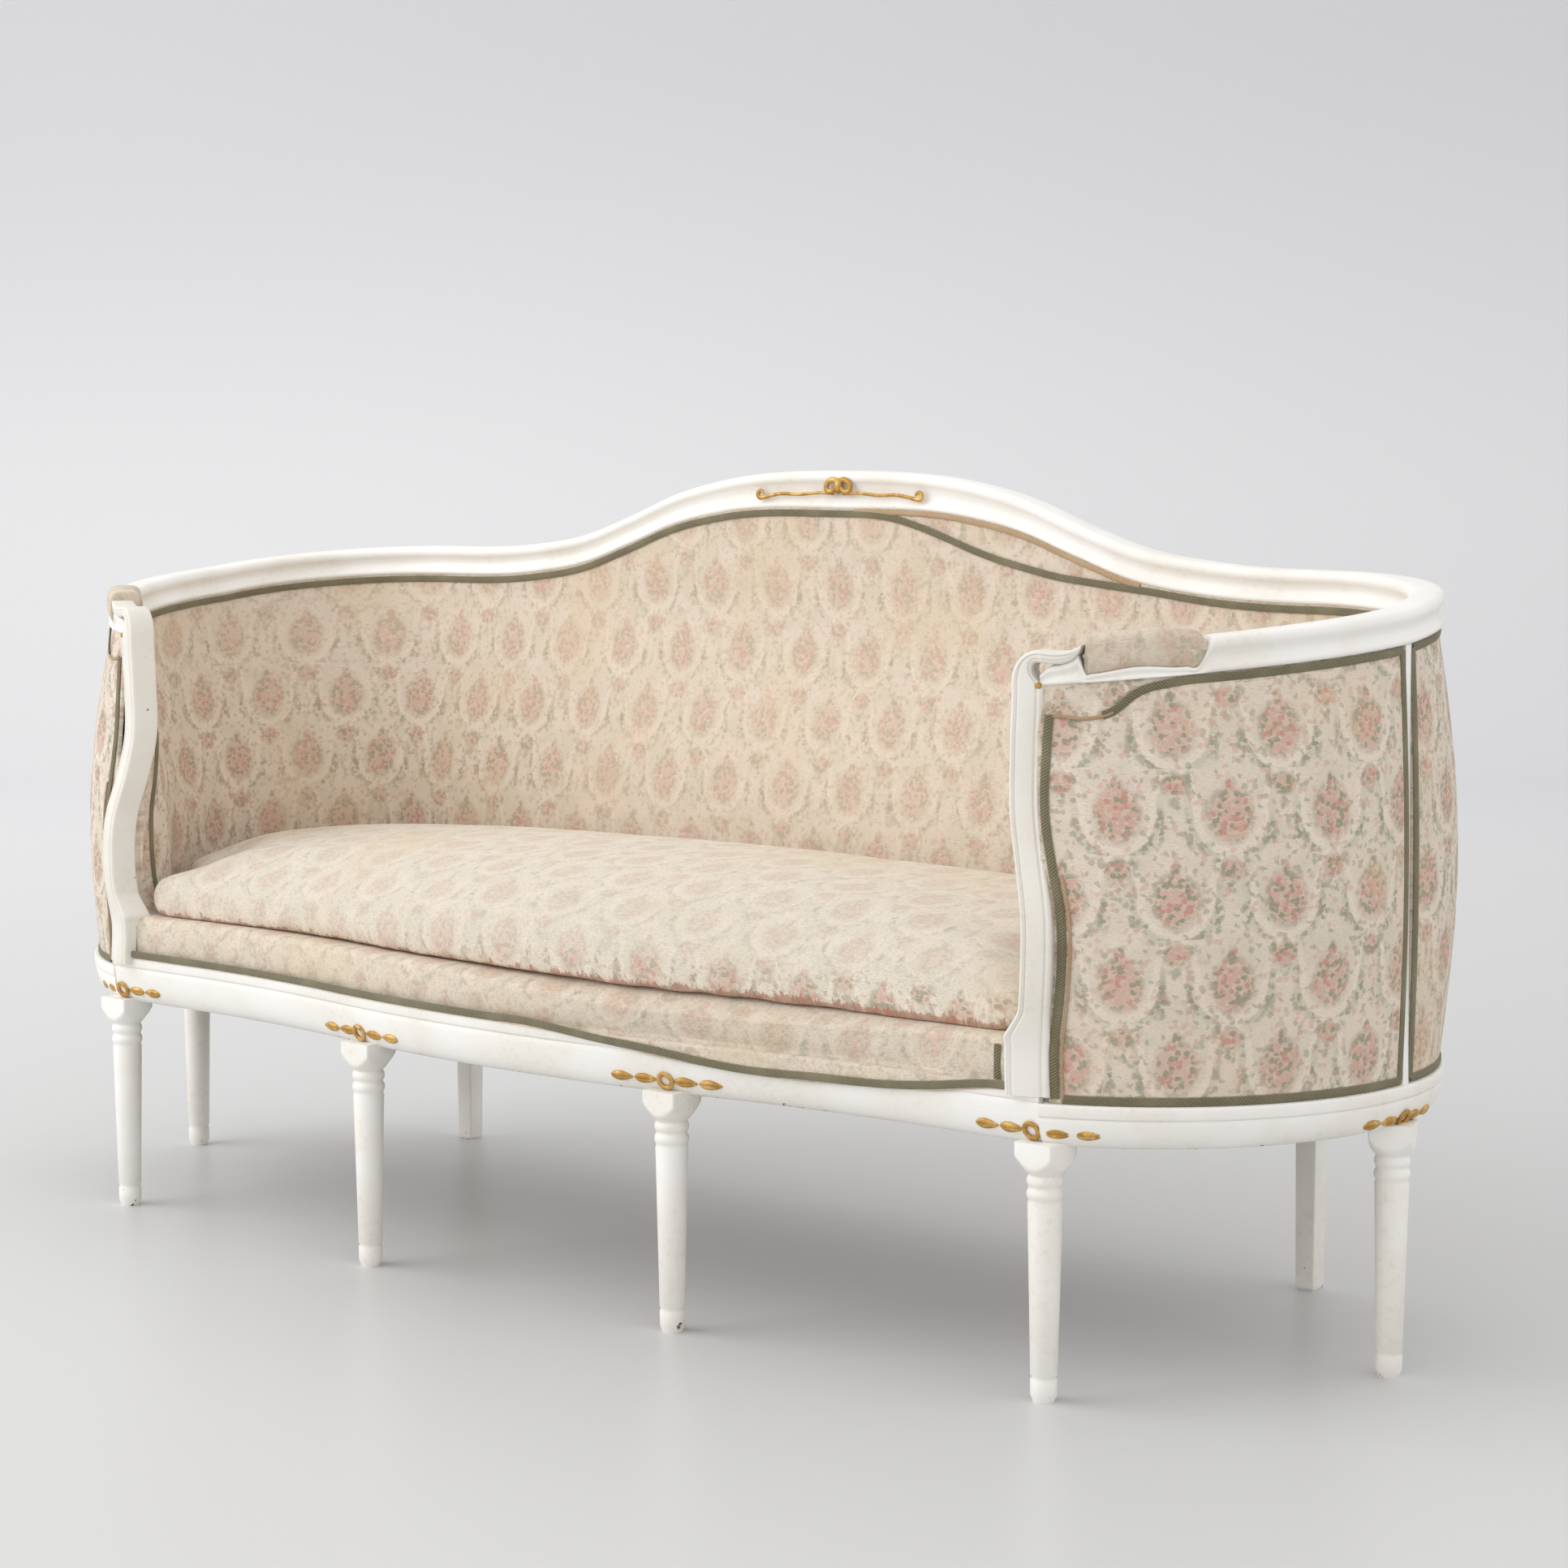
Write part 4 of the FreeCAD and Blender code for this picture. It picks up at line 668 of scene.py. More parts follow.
def keep_cad_pieces():
    """The hidden frame keeps its CAD solids, dressed in bare wood, jute and paint."""
    finishes = {"bare_wood": pine, "jute": jute, "painted_wood": paint, "gilt": gilt,
                "braid": braid, "floral_fabric": wall_cloth}
    for part in frame["record"]["subparts"]:
        mesh = frame["nodes"][part["node"]].data
        mesh.materials.clear()
        mesh.materials.append(finishes[part["material_slot"]])


# Seat rails

ROUND_DEPTH = 20.5


def rail_section(top, core):
    """Seat rail outline from (out, height): fillet, quirk, then an oval round going under."""
    turn = np.linspace(0, np.pi / 2, 12)
    drop = top - 15.0
    round_out = RAIL_OUT - 1.5 - ROUND_DEPTH * (1 - np.cos(turn))
    round_up = drop - (drop - RAIL_BOTTOM) * np.sin(turn)
    soft = np.linspace(0, np.pi / 2, 5)
    edge_out = RAIL_OUT - 2.5 + 2.5 * np.sin(soft)
    edge_up = top - 2.5 + 2.5 * np.cos(soft)
    fillet = [(RAIL_OUT, drop + 3.0), (RAIL_OUT - 0.6, drop + 1.6), (RAIL_OUT - 2.2, drop + 0.8)]
    outline = [(-RAIL_IN, RAIL_TOP)]
    if top < RAIL_TOP:
        outline += [(core, RAIL_TOP), (core, top)]
    outline += list(zip(edge_out, edge_up)) + fillet + list(zip(round_out, round_up))
    outline += [(-RAIL_IN, RAIL_BOTTOM)]
    return np.array(outline)


def rail_wear(section):
    """Wear along the rail's top edge and its lower edge."""
    low = np.clip(1 - (section[..., 1] - RAIL_BOTTOM) / 9.0, 0, 1)
    high = np.clip(1 - np.abs(section[..., 1] - RAIL_TOP) / 3.0, 0, 1)
    return np.maximum(low, 0.6 * high)


def make_seat_rails():
    """The rail section carried along the bowed front and round the ring, mitred in front."""
    section = rail_section(RAIL_TOP, RAIL_OUT)
    x, place, normal = front_line(FRONT_LEG_X, 241)
    mitre = np.tan(SIDE_TURN / 2)
    rings = swept(place, normal, UP, section[None])
    share = np.clip((np.abs(x) - (FRONT_LEG_X - 60)) / 60, 0, 1)[:, None]
    rings[..., 0] += np.sign(x)[:, None] * share * section[None, :, 0] * mitre
    wear = np.broadcast_to(rail_wear(section), rings.shape[:2])
    dress(loft("front_rail", rings, wear=wear), paint, "painted_wood", "front_seat_rail")
    section = rail_section(RAIL_LEDGE, 2.0)
    wear = rail_wear(section)
    runs = {"side_rail": (0.0, 1.0, 60), "corner_rail": (1.0, 2.0, 60)}
    for name, (first, last, steps) in runs.items():
        for side, hand in SIDES:
            t = np.linspace(first, last, steps + 1)
            ring = Ring(t if hand > 0 else RING_END - t)
            rings = swept(ring.foot, ring.normal, UP, section[None])
            if first == 0.0:
                back_off = (1 - np.clip(t * 8, 0, 1))[:, None] * section[None, :, 0] * mitre
                rings -= ring.along[:, None, :] * back_off[..., None]
            rings[..., 0] *= hand
            piece = loft(name + "_" + side, rings, wear=np.broadcast_to(wear, rings.shape[:2]))
            node = name.replace("rail", "seat_rail") + "_" + side
            dress(piece, paint, "painted_wood", node)
    x = np.linspace(CORNER_X, -CORNER_X, 41)
    rings = swept(level_point(x, 0 * x + BACK_LINE_Y), unit(np.pi / 2), UP, section[None])
    piece = loft("back_rail", rings, wear=np.broadcast_to(wear, rings.shape[:2]))
    dress(piece, paint, "painted_wood", "back_seat_rail")


# Legs

CAPITAL_SIDE = 47.0
LEG_LEVELS = (0.0, 3.0, 7.0, 24.0, 26.5, 29.0, 212.0, 215.0, 217.0, 219.5, 223.0, 225.5, 227.5,
              230.5, 232.0, 234.5, 238.0, 241.0, 243.0)
LEG_RADII = (11.5, 12.5, 14.3, 14.5, 12.8, 14.5, 18.6, 17.6, 18.2, 19.5, 19.7, 19.2, 17.8,
             17.6, 18.6, 19.6, 19.6, 18.4, 17.4)


def make_leg(name, x, y, turn, node):
    """Turned leg: radii over height; above the neck the smaller of a cone and a square."""
    steps = 96
    angle = np.linspace(0, 2 * np.pi, steps, endpoint=False)
    fine = np.linspace(243.0, RAIL_BOTTOM + 5.0, 24)[1:]
    square = CAPITAL_SIDE / 2 / np.maximum(np.abs(np.cos(angle)), np.abs(np.sin(angle)))
    rise = (fine - 243.0) / (RAIL_BOTTOM - 243.0)
    cone = mix(17.4, CAPITAL_SIDE / np.sqrt(2) + 1.0, np.clip(rise / 0.72, 0, 1) ** 0.85)
    low = np.array(LEG_RADII)[:, None] + 0 * angle
    high = -np.logaddexp(-square[None] / 0.7, -cone[:, None] / 0.7) * 0.7
    radius = np.concatenate([low, high])
    z = np.concatenate([LEG_LEVELS, fine])
    spin = angle + turn
    rings = np.stack([x + radius * np.cos(spin), y + radius * np.sin(spin),
                      np.broadcast_to(z[:, None], radius.shape)], -1)
    wear = np.broadcast_to(np.clip(1 - z / 30, 0, 1)[:, None], radius.shape)
    dress(loft(name, rings, wear=wear), paint, "painted_wood", node)


def make_legs():
    spots = (("outer_leg", "front_leg_outer", FRONT_LEG_X, 0.0, 0.0),
             ("inner_leg", "front_leg_inner", INNER_LEG_X, float(front_y(INNER_LEG_X)), 0.0),
             ("end_leg", "side_leg", SIDE_LEG_X, SIDE_LEG_Y, np.radians(22.0)))
    for name, node, x, y, turn in spots:
        make_leg(name + "_right", x, y, turn, node + "_right")
        make_leg(name + "_left", -x, y, -turn, node + "_left")
    top, foot = 15.0, 12.5
    x = CORNER_X + top
    y = SIDE_LEG_Y + np.sqrt(CORNER_RADIUS ** 2 - top ** 2)
    z = np.array([0.0, 1.5, 4.0, 60.0, 140.0, 220.0, RAIL_BOTTOM])
    half = mix(foot, top, z / RAIL_BOTTOM) - [1.5, 0.4, 0, 0, 0, 0, 0]
    outline = rounded_box(half, half, 0 * half + 2.0)
    for side, hand in SIDES:
        rings = swept(np.stack([0 * z + hand * x, 0 * z + y, z], -1), [1.0, 0, 0], [0, 1.0, 0], outline)
        wear = np.broadcast_to(np.clip(1 - z / 60, 0, 1)[:, None], rings.shape[:2])
        dress(loft("square_leg_" + side, rings, wear=wear), paint, "painted_wood",
              "back_leg_" + side)


# Upper ring: moulded arm, corner and crest rails

def moulded_section(half_wide, height):
    """Rail outline: small bead below, hollow, large bead above, crowned top, both faces."""
    half_wide, height = (np.asarray(v, float)[..., None] for v in (half_wide, height))
    scale = np.clip(height / 38.0, 0.3, 1.0)
    small, large = 4.5 * scale, 8.5 * scale
    turn = np.linspace(-np.pi / 2, np.radians(55), 8)
    low_in = small * (1 - np.cos(turn))
    low_up = small * (1 + np.sin(turn))
    turn = np.linspace(np.radians(-50), np.pi / 2, 10)
    high_in = large * (1 - np.cos(turn))
    high_up = height - large + large * np.sin(turn)
    share = np.linspace(0, 1, 9)[1:-1]
    hollow_in = mix(low_in[..., -1:], high_in[..., :1], share) + 3.4 * scale * np.sin(np.pi * share)
    hollow_up = mix(low_up[..., -1:], high_up[..., :1], share)
    inset = np.concatenate([low_in, hollow_in, high_in], -1)
    up = np.concatenate([low_up, hollow_up, high_up], -1) - height / 2
    out = half_wide - inset
    crown = np.zeros(out.shape[:-1] + (1,))
    top = np.stack([crown, height / 2 + 0.8], -1)
    right = np.stack([out, up], -1)
    left = np.stack([-out, up], -1)[..., ::-1, :]
    return np.concatenate([right, top, left], -2)


def section_wear(section, height):
    """Wear on the lowest and highest strips of a moulded rail."""
    up = section[..., 1] / np.asarray(height)[..., None] + 0.5
    return np.clip(1 - up / 0.12, 0, 1) * 0.8 + np.clip((up - 0.9) / 0.1, 0, 1) * 0.35


def rail_rings(ring, top, under):
    height = top - under
    section = moulded_section(ring.half_width, height)
    middle = ring.flipped(ring.head, (top + under) / 2)
    return swept(middle, ring.outward, UP, section), section_wear(section, height)


PAD_START = 0.132
PAD_END = 0.41
RAIL_START = 0.033
DIP_SHARES = (0.03, 0.05, 0.085, 0.108, 0.12, 0.128, 0.138, 0.15, 0.25, 0.36, 0.39, 0.405, 0.42, 1.0)
DIP_DEPTHS = (27.0, 20.0, 16.5, 13.0, 9.5, 18.0, 29.0, 29.0, 25.0, 29.0, 28.0, 14.0, 0.0, 0.0)


def make_top_rails():
    """Arm rails drop behind the scroll, rise to a cusp and dip to a bed for the arm pad."""
    spots = np.concatenate([np.linspace(RAIL_START, 0.2, 60), np.linspace(0.2, 0.5, 60)[1:],
                            np.linspace(0.5, 1.0, 40)[1:]])
    runs = []
    for side, hand in SIDES:
        runs += [("arm_moulding_" + side, "arm_rail_" + side, hand, spots),
                 ("corner_moulding_" + side, "corner_top_rail_" + side, hand, np.linspace(1.0, 2.0, 71))]
    runs.append(("crest_moulding", "crest_rail", 1, np.linspace(2.0, 3.0, 261)))
    for name, node, hand, places in runs:
        ring = Ring(places if hand > 0 else RING_END - places)
        top = ring.top
        if places is spots:
            top = top - np.clip(hermite(ring.s, DIP_SHARES, DIP_DEPTHS), 0, None)
            ring.half_width = ring.half_width - 3.5 * (1 - ease((ring.s - 0.04) / 0.09))
        rings, wear = rail_rings(ring, top, ring.under)
        dress(loft(name, rings, wear=wear), paint, "painted_wood", node)


# Arm posts with their scrolled knuckles

POST_HALF = 17.0
KNUCKLE_HOLLOW = 3.0
POST_TOP = ARM_TOP_FRONT - 2 * POST_HALF - KNUCKLE_HOLLOW
POST_LEVEL_SHARES = (0.0, 0.12, 0.19, 0.315, 0.437, 0.558, 0.68, 0.853, 1.0)
POST_SHIFT_X = (-7.0, -4.5, 2.0, 9.0, 9.0, -1.0, -9.0, -5.5, 0.0)
POST_SHIFT_Y = (-3.0, -4.0, -10.0, -13.0, -10.5, -3.0, 2.0, 1.5, 0.0)


def post_sway(z):
    """How far the S-shaped post stands out of its line at each height, in plan."""
    share = (z - RAIL_TOP) / (POST_TOP - RAIL_TOP)
    return hermite(share, POST_LEVEL_SHARES, POST_SHIFT_X), hermite(share, POST_LEVEL_SHARES, POST_SHIFT_Y)


def egg(middle, first, second, axis):
    """Rings of an egg from its middle and three half axes, the poles on the last."""
    turn = np.linspace(0, np.pi, 12)[:, None, None]
    angle = np.linspace(0, 2 * np.pi, 25)[:-1, None]
    return middle + axis * np.cos(turn) + np.sin(turn) * (first * np.cos(angle) + second * np.sin(angle))


def make_posts():
    """The S-shaped post on its bracket foot, then a scroll over the arm with a curled lip.

    Each ring is a rounded box between an outer edge, which runs up the post and over the
    arm, and an inner edge that leaves it by the thickness at that place.
    """
    z = np.concatenate([np.linspace(RAIL_TOP - 8.0, 440.0, 50), np.linspace(440.0, POST_TOP, 45)[1:]])
    ring = Ring(0 * z)
    place = ring.point(ring.line(z), z)
    place[:, :2] += np.stack(post_sway(z), -1)
    along, back = unit(SIDE_TURN), unit(SIDE_TURN + np.pi / 2)
    bracket = 1 - ease((z - 386.0) / 34.0)
    lip = np.exp(-((z - 388.0) / 5.0) ** 2)
    outer = place - along * (POST_HALF + 13.0 * bracket + 1.5 * lip)[:, None]
    thick = 2 * POST_HALF + 15.0 * bracket + 2.0 * lip
    bend = np.linspace(0, np.pi / 2, 26)[1:, None]
    eye = place[-1] + along * 13.0
    wide, high = POST_HALF + 13.0, ARM_TOP_FRONT - POST_TOP
    bend_outer = eye - along * wide * np.cos(bend) ** 0.9 + UP * high * np.sin(bend) ** 0.9
    bend_inward = along * np.cos(bend) - UP * np.sin(bend)
    bend_thick = mix(2 * POST_HALF, 13.0, ease(bend[:, 0] / (np.pi / 2) * 1.15))
    run = np.linspace(0, 1, 26)[1:]
    reach = 44.0 * run
    tip_up = high + 6.0 * run ** 4 - 1.5 * np.sin(np.pi * run)
    tip = eye + along * reach[:, None] + UP * tip_up[:, None]
    tip += back * (reach ** 2 / 2 / TOP_SIDE_RADIUS)[:, None]
    tip_thick = 13.0 * np.sqrt(1 - 0.985 * run ** 5)
    outer = np.concatenate([outer, bend_outer, tip])
    inward = np.concatenate([0 * place + along, bend_inward, 0 * tip - UP])
    thick = np.concatenate([thick, bend_thick, tip_thick])
    half_wide = np.concatenate([POST_HALF + 2.0 * bracket, 0 * bend[:, 0] + POST_HALF,
                                POST_HALF + 1.0 - 3.0 * run ** 3])
    section = rounded_box(thick / 2, half_wide, np.minimum(4.0, thick * 0.42), 7)
    over = np.linspace(-1, 1, 60)
    face = over * (thick / 2 - np.minimum(4.0, thick * 0.42))[:, None]
    flute = 1.7 * np.exp(-((np.abs(over) - 0.80) / 0.07) ** 2) - 0.9 * (1 - over ** 2)
    flute = flute[None] * np.clip((thick[:, None] - 8.0) / 12.0, 0, 1)
    front = np.stack([face[:, ::-1], -(half_wide[:, None] - flute)], -1)
    behind = np.stack([face, half_wide[:, None] - flute], -1)
    quarter = len(section[0]) // 4
    section = np.concatenate([section[:, :quarter], behind[:, ::-1], section[:, quarter:3 * quarter],
                              front[:, ::-1], section[:, 3 * quarter:]], 1)
    middle = outer + inward * (thick / 2)[:, None]
    rings = swept(middle, inward, back, section)
    wear = np.clip((np.abs(section[..., 0]) / (thick[:, None] / 2) - 0.85) / 0.15, 0, 1) * 0.4
    for side, hand in SIDES:
        copy = rings * [hand, 1, 1]
        # The posts take the darker paint, which stands for painted shade.
        dress(loft("scrolled_post_" + side, copy, wear=wear), shaded_post_paint, "painted_wood", "arm_post_" + side)
        ball = egg(eye - back * (POST_HALF - 1.5) + UP * 0.5, 3.8 * along, 3.8 * UP, 3.2 * back)
        piece = loft("knuckle_eye_" + side, ball * [hand, 1, 1], caps=False)
        dress(piece, gilt, "gilt", *(["knuckle_eyes"] if hand > 0 else []))


# Wall upholstery

def column_ring(t, columns):
    return Ring(np.broadcast_to(np.asarray(t)[:, None], (len(t), columns)))


ROLL_SHARE = 0.15


def inside_place(t, z, lift=0.0):
    """Points of the inside cloth at ring places t (rows) and heights z.

    Upright by the seat, then drawn back to the rail by an eased share; at the arm post it
    follows the post's S and rolls round to the wood in a quarter of an oval.
    """
    ring = column_ring(t, z.shape[1])
    head = ring.line(z) - ring.half_width + 2.0
    top = np.where(ring.s >= 2, SHOULDER_TOP - SHOULDER_HEIGHT, ring.under)
    share = ease((z - PAD_FULL_TOP) / (top - PAD_FULL_TOP))
    offset = mix(-SEAT_PAD_IN, head, share)
    near = np.clip(1 - ring.s / ROLL_SHARE, 0, 1)
    offset = mix(-POST_HALF, offset, np.sqrt(1 - near ** 2))
    length = ring_length(t)[:, None]
    sway = np.sin(length / 61.0 + z / 83.0) * np.sin(length / 37.0 - z / 119.0)
    level = np.clip((z - PAD_BOTTOM) / (ring.under - PAD_BOTTOM), 0, 1)
    offset = offset - 1.1 * sway * np.sin(np.pi * level) - lift
    place = ring.point(offset, z)
    shift_x, shift_y = post_sway(z)
    place[..., 0] += shift_x * ease(near) * ring.mirror
    place[..., 1] += shift_y * ease(near)
    return place


PAD_DEPTH = 16.5
CLOTH_DEPTH = 4.0


def folded(front, behind):
    """Rows of a front face, then of a coarser back face the other way."""
    return np.concatenate([front, behind[:, ::-1][:, ::6]], 1)


def make_inside_walls():
    """Inside cloth from one arm post round the back to the other, closed behind."""
    arm = np.linspace(0, 1, 60) ** 2
    half = np.concatenate([arm, np.linspace(1, 2, 60)[1:], np.linspace(2, 2.5, 90)[1:]])
    t = np.concatenate([half, RING_END - half[-2::-1]])
    wide = Ring(t)
    z = mix(PAD_BOTTOM, wide.under[:, None] + 1.0, np.linspace(0, 1, 70))
    front = inside_place(t, z)
    ring = column_ring(t, z.shape[1])
    rings = folded(front, ring.point(ring.line(z) - PAD_DEPTH, z))
    u = travel(front[:, 30])
    uv = cloth_map(front, u - u[-1] / 2)
    uv = folded(uv, uv)
    piece = loft("inside_cloth", rings, uv)
    dress(piece, wall_cloth, "floral_fabric", "inside_back_upholstery",
          "inside_corner_upholstery_right", "inside_corner_upholstery_left",
          "inside_arm_upholstery_right", "inside_arm_upholstery_left")


def outside_surface(ring, z):
    """Outside cloth: wall line plus a belly that fades at each panel's edges."""
    height = np.clip((z - RAIL_LEDGE) / (ring.under - RAIL_LEDGE), 0, 1)
    share = np.clip(ring.s - np.floor(np.clip(ring.s, 0, 1.999)), 0, 1)
    belly = WALL_BULGE * np.sin(np.pi * height) * np.sqrt(np.sin(np.pi * np.clip(share, 0, 1)) + 1e-9)
    return ring.line(z) + WALL_OUT + np.where(ring.s < 2, belly, 0)


BEAD_WIDTH = 6.2
POST_BEAD = 9.0


def make_outside_walls():
    """Outside arms, corners and back, bellied out between the frame's beads."""
    side, corner, back = (BEAD_WIDTH / length for length in (SIDE_LENGTH, CORNER_LENGTH, 2 * CORNER_X))
    post = POST_BEAD / SIDE_LENGTH
    runs = (("arm", "_right", post, 1 - side, 80), ("corner", "_right", 1 + corner, 2 - corner, 80),
            ("back", "", 2 + back, 3 - back, 160), ("corner", "_left", 3 + corner, 4 - corner, 80),
            ("arm", "_left", 4 + side, RING_END - post, 80))
    for bay, end, first, last, steps in runs:
        t = mix(first, last, (1 - np.cos(np.linspace(0, np.pi, steps + 1))) / 2)
        share = (1 - np.cos(np.linspace(0, np.pi, 60))) / 2
        z = mix(RAIL_LEDGE + 0.5, Ring(t).under[:, None] + 1.0, share)
        ring = column_ring(t, z.shape[1])
        offset = outside_surface(ring, z)
        rings = folded(ring.point(offset, z), ring.point(offset - CLOTH_DEPTH, z))
        uv = np.stack([np.broadcast_to(ring_length(t)[:, None], z.shape), z], -1)
        uv = folded(uv, uv)
        piece = loft("outside_" + bay + "_cloth" + end, rings, uv)
        dress(piece, back_cloth, "floral_fabric", "outside_" + bay + "_panel" + end)


# Arm pads

def make_arm_pads():
    """Upholstered arm pads: a fat rounded section that closes in a quarter circle at each end."""
    share = (1 - np.cos(np.linspace(0, np.pi, 70))) / 2
    t = mix(PAD_START, PAD_END, share)
    start = np.sqrt(np.clip(1 - np.clip((0.05 - share) / 0.05, 0, 1) ** 2, 0.01, 1))
    end = np.sqrt(np.clip(1 - np.clip((share - 0.87) / 0.13, 0, 1) ** 2, 0.01, 1))
    full = start * end
    angle = np.linspace(0, 2 * np.pi, 49)[:-1]
    cos, sin = np.cos(angle), np.sin(angle)
    bow = np.where(sin > 0, 0.62, 0.35)
    outline = np.stack([np.sign(cos) * np.abs(cos) ** bow, np.sign(sin) * np.abs(sin) ** 0.6], -1)
    for side in ("right", "left"):
        ring = Ring(t if side == "right" else RING_END - t)
        dip = hermite(np.clip(ring.s, 0.14, 0.385), DIP_SHARES, DIP_DEPTHS)
        bed = ring.top - np.clip(dip, 0, None) - 1.0
        crown = mix(ring.top[4] + 12.0, ring.top[-4] + 6.0, share) + 3.0 * np.sin(np.pi * share)
        low = mix(bed + 12.0, bed, end)
        tall = (crown - low) * mix(0.45, 1.0, full)
        half_wide = 21.5 * mix(0.6, 1.0, full)
        section = outline[None] * np.stack([half_wide, tall / 2], -1)[:, None]
        rings = swept(ring.flipped(ring.head, low + tall / 2), ring.outward, UP, section)
        uv = cloth_map(np.concatenate([section, section[:, :1]], 1), ring_length(t))
        piece = loft("arm_pad_cloth_" + side, rings, uv)
        dress(piece, pad_cloth, "floral_fabric", "arm_pad_" + side)


# Seat: front band and cushion

SAG_PLACES = (-20.0, 10.0, 92.0, 190.0, 290.0, 395.0, 503.0, 605.0, 700.0)
SAG_DROPS = (0.0, 0.0, 2.5, 11.0, 21.0, 26.0, 23.0, 16.0, 4.0)


def loose_edge(x):
    """Height of the band's lower edge: on the rail's top, but hanging loose on the right."""
    return RAIL_TOP - np.clip(hermite(x, SAG_PLACES, SAG_DROPS), 0, None)


def loose_out(z):
    """How far out the hanging cloth lies: from the band's face over the rail's edge."""
    return mix(BAND_OUT, RAIL_OUT + 0.9, ease((RAIL_TOP + 7.0 - z) / 9.0))


SUNK_PLACES = (-150.0, 0.0, 130.0, 290.0, 450.0, 560.0, 650.0)
SUNK_DROPS = (0.0, 7.0, 15.0, 18.0, 15.0, 9.0, 5.0)


def sunk(x, y, z):
    """Height once the stuffed front edge has sunk on the right: full at the very front."""
    front = ease((front_y(x) - y + 40.0) / 50.0)
    share = np.clip((z - RAIL_TOP - 6.0) / (DECK_TOP - RAIL_TOP - 6.0), 0, 1)
    return z - np.clip(hermite(x, SUNK_PLACES, SUNK_DROPS), 0, None) * front * share


def make_front_band():
    """Stuffed front edge under the cushion: bowed band with a rolled top and soft belly.

    On the right its lower edge has come loose and hangs over the rail's face.
    """
    end = FRONT_LEG_X - 19.0
    x, place, normal = front_line(end, 300)
    low, top = RAIL_TOP + 0.5, DECK_TOP
    turn = np.linspace(0, np.pi / 2, 7)
    belly = np.linspace(0, 1, 9)
    out = BAND_OUT + 2.0 * np.sin(np.pi * belly)
    face = np.stack([out, mix(low, top - 10, belly)], -1)
    roll = np.stack([BAND_OUT - 10 + 10 * np.cos(turn), top - 10 + 10 * np.sin(turn)], -1)[1:]
    section = np.concatenate([face, roll, [(-30.0, top), (-100.0, top), (-100.0, low)]])
    sway = 1.0 * np.sin(x / 47.0) * np.sin(x / 19.0 + 1.0)
    sway = sway[:, None] * (section[:, 0] > 0)
    section = section + np.stack([sway, 0 * sway], -1)
    drop = mix(low - 0.5, loose_edge(x)[:, None] - 1.0, np.linspace(0, 1, 9))
    flap = np.stack([loose_out(drop), drop], -1)
    section = np.concatenate([(flap - [1.4, 0.0]), (flap + [0.9, 0.0])[:, ::-1], section], 1)
    rings = swept(place, normal, UP, section)
    rings[..., 2] = sunk(*np.moveaxis(rings, -1, 0))
    piece = loft("seat_front_band", rings, cloth_map(section, x))
    dress(piece, band_cloth, "floral_fabric", "stuffed_seat")


def arc(centre_x, centre_y, radius, first, last, count):
    turn = np.linspace(first, last, count)
    return np.stack([centre_x + radius * np.cos(turn), centre_y + radius * np.sin(turn)], -1)


def seat_plan(front_out, notch_x, side_in, corner_r):
    """Plan outline of the seat, 260 even points from the middle of the front round."""
    inner = SIDE_RADIUS - side_in
    start = -np.arccos((notch_x - SIDE_CENTRE_X) / inner)
    x = np.linspace(0, notch_x - corner_r, 60)
    half = np.concatenate([
        np.stack([x, front_y(x) - front_out], -1),
        arc(notch_x - corner_r, corner_r - front_out, corner_r, -np.pi / 2, 0, 8)[1:],
        arc(SIDE_CENTRE_X, SIDE_LEG_Y, inner, start, 0, 30),
        arc(CORNER_X, SIDE_LEG_Y, CORNER_RADIUS - side_in, 0, np.pi / 2, 30)[1:],
        [[0.0, BACK_LINE_Y - side_in]]])
    whole = np.concatenate([half, half[-2:0:-1] * [-1, 1], half[:1]])
    length = travel(whole)
    even = np.linspace(0, length[-1], 260, endpoint=False)
    return np.stack([np.interp(even, length, whole[:, k]) for k in (0, 1)], -1)


def shrunk_rings(plan, middle, levels):
    """Rings of a plan drawn in towards its middle: a share and a height per ring."""
    levels = np.array(levels)[:, :, None, None]
    flat = middle + (plan - middle) * levels[:, 0]
    return np.concatenate([flat, np.broadcast_to(levels[:, 1], flat[..., :1].shape)], -1)


def make_deck():
    """Plain linen cover of the stuffed seat, which shows when the cushion is lifted."""
    plan = seat_plan(BAND_OUT - 90.0, 690.0, SEAT_PAD_IN - 5.0, 12.0)
    levels = [(1.0, PAD_BOTTOM), (1.0, DECK_TOP - 9.0), (0.995, DECK_TOP - 5.5)]
    levels += [(share, DECK_TOP - 4.0) for share in np.linspace(0.98, 0.04, 16)]
    piece = loft("seat_deck_cloth", shrunk_rings(plan, [0.0, 290.0], levels))
    dress(piece, linen, "jute", "stuffed_seat")


def cushion_top(x, y):
    """Height of the cushion's top: a long low crown that keeps its height at the back."""
    return 479.0 + 7.0 * np.exp(-((x - 60.0) / 420.0) ** 2) + 6.0 * ease((y - 380.0) / 130.0)


COVER_SPACING = 10.0
COVER_TRAVEL = 22.0
COVER_FRAMES = 20
COVER_SETTINGS = {"quality": 6, "mass": 0.3, "tension_stiffness": 12.0, "compression_stiffness": 12.0,
                  "shear_stiffness": 4.0, "bending_stiffness": 0.3, "use_pressure": True,
                  "uniform_pressure_force": 4.0, "vertex_group_shrink": "seams",
                  "shrink_min": -0.025, "shrink_max": 0.07}


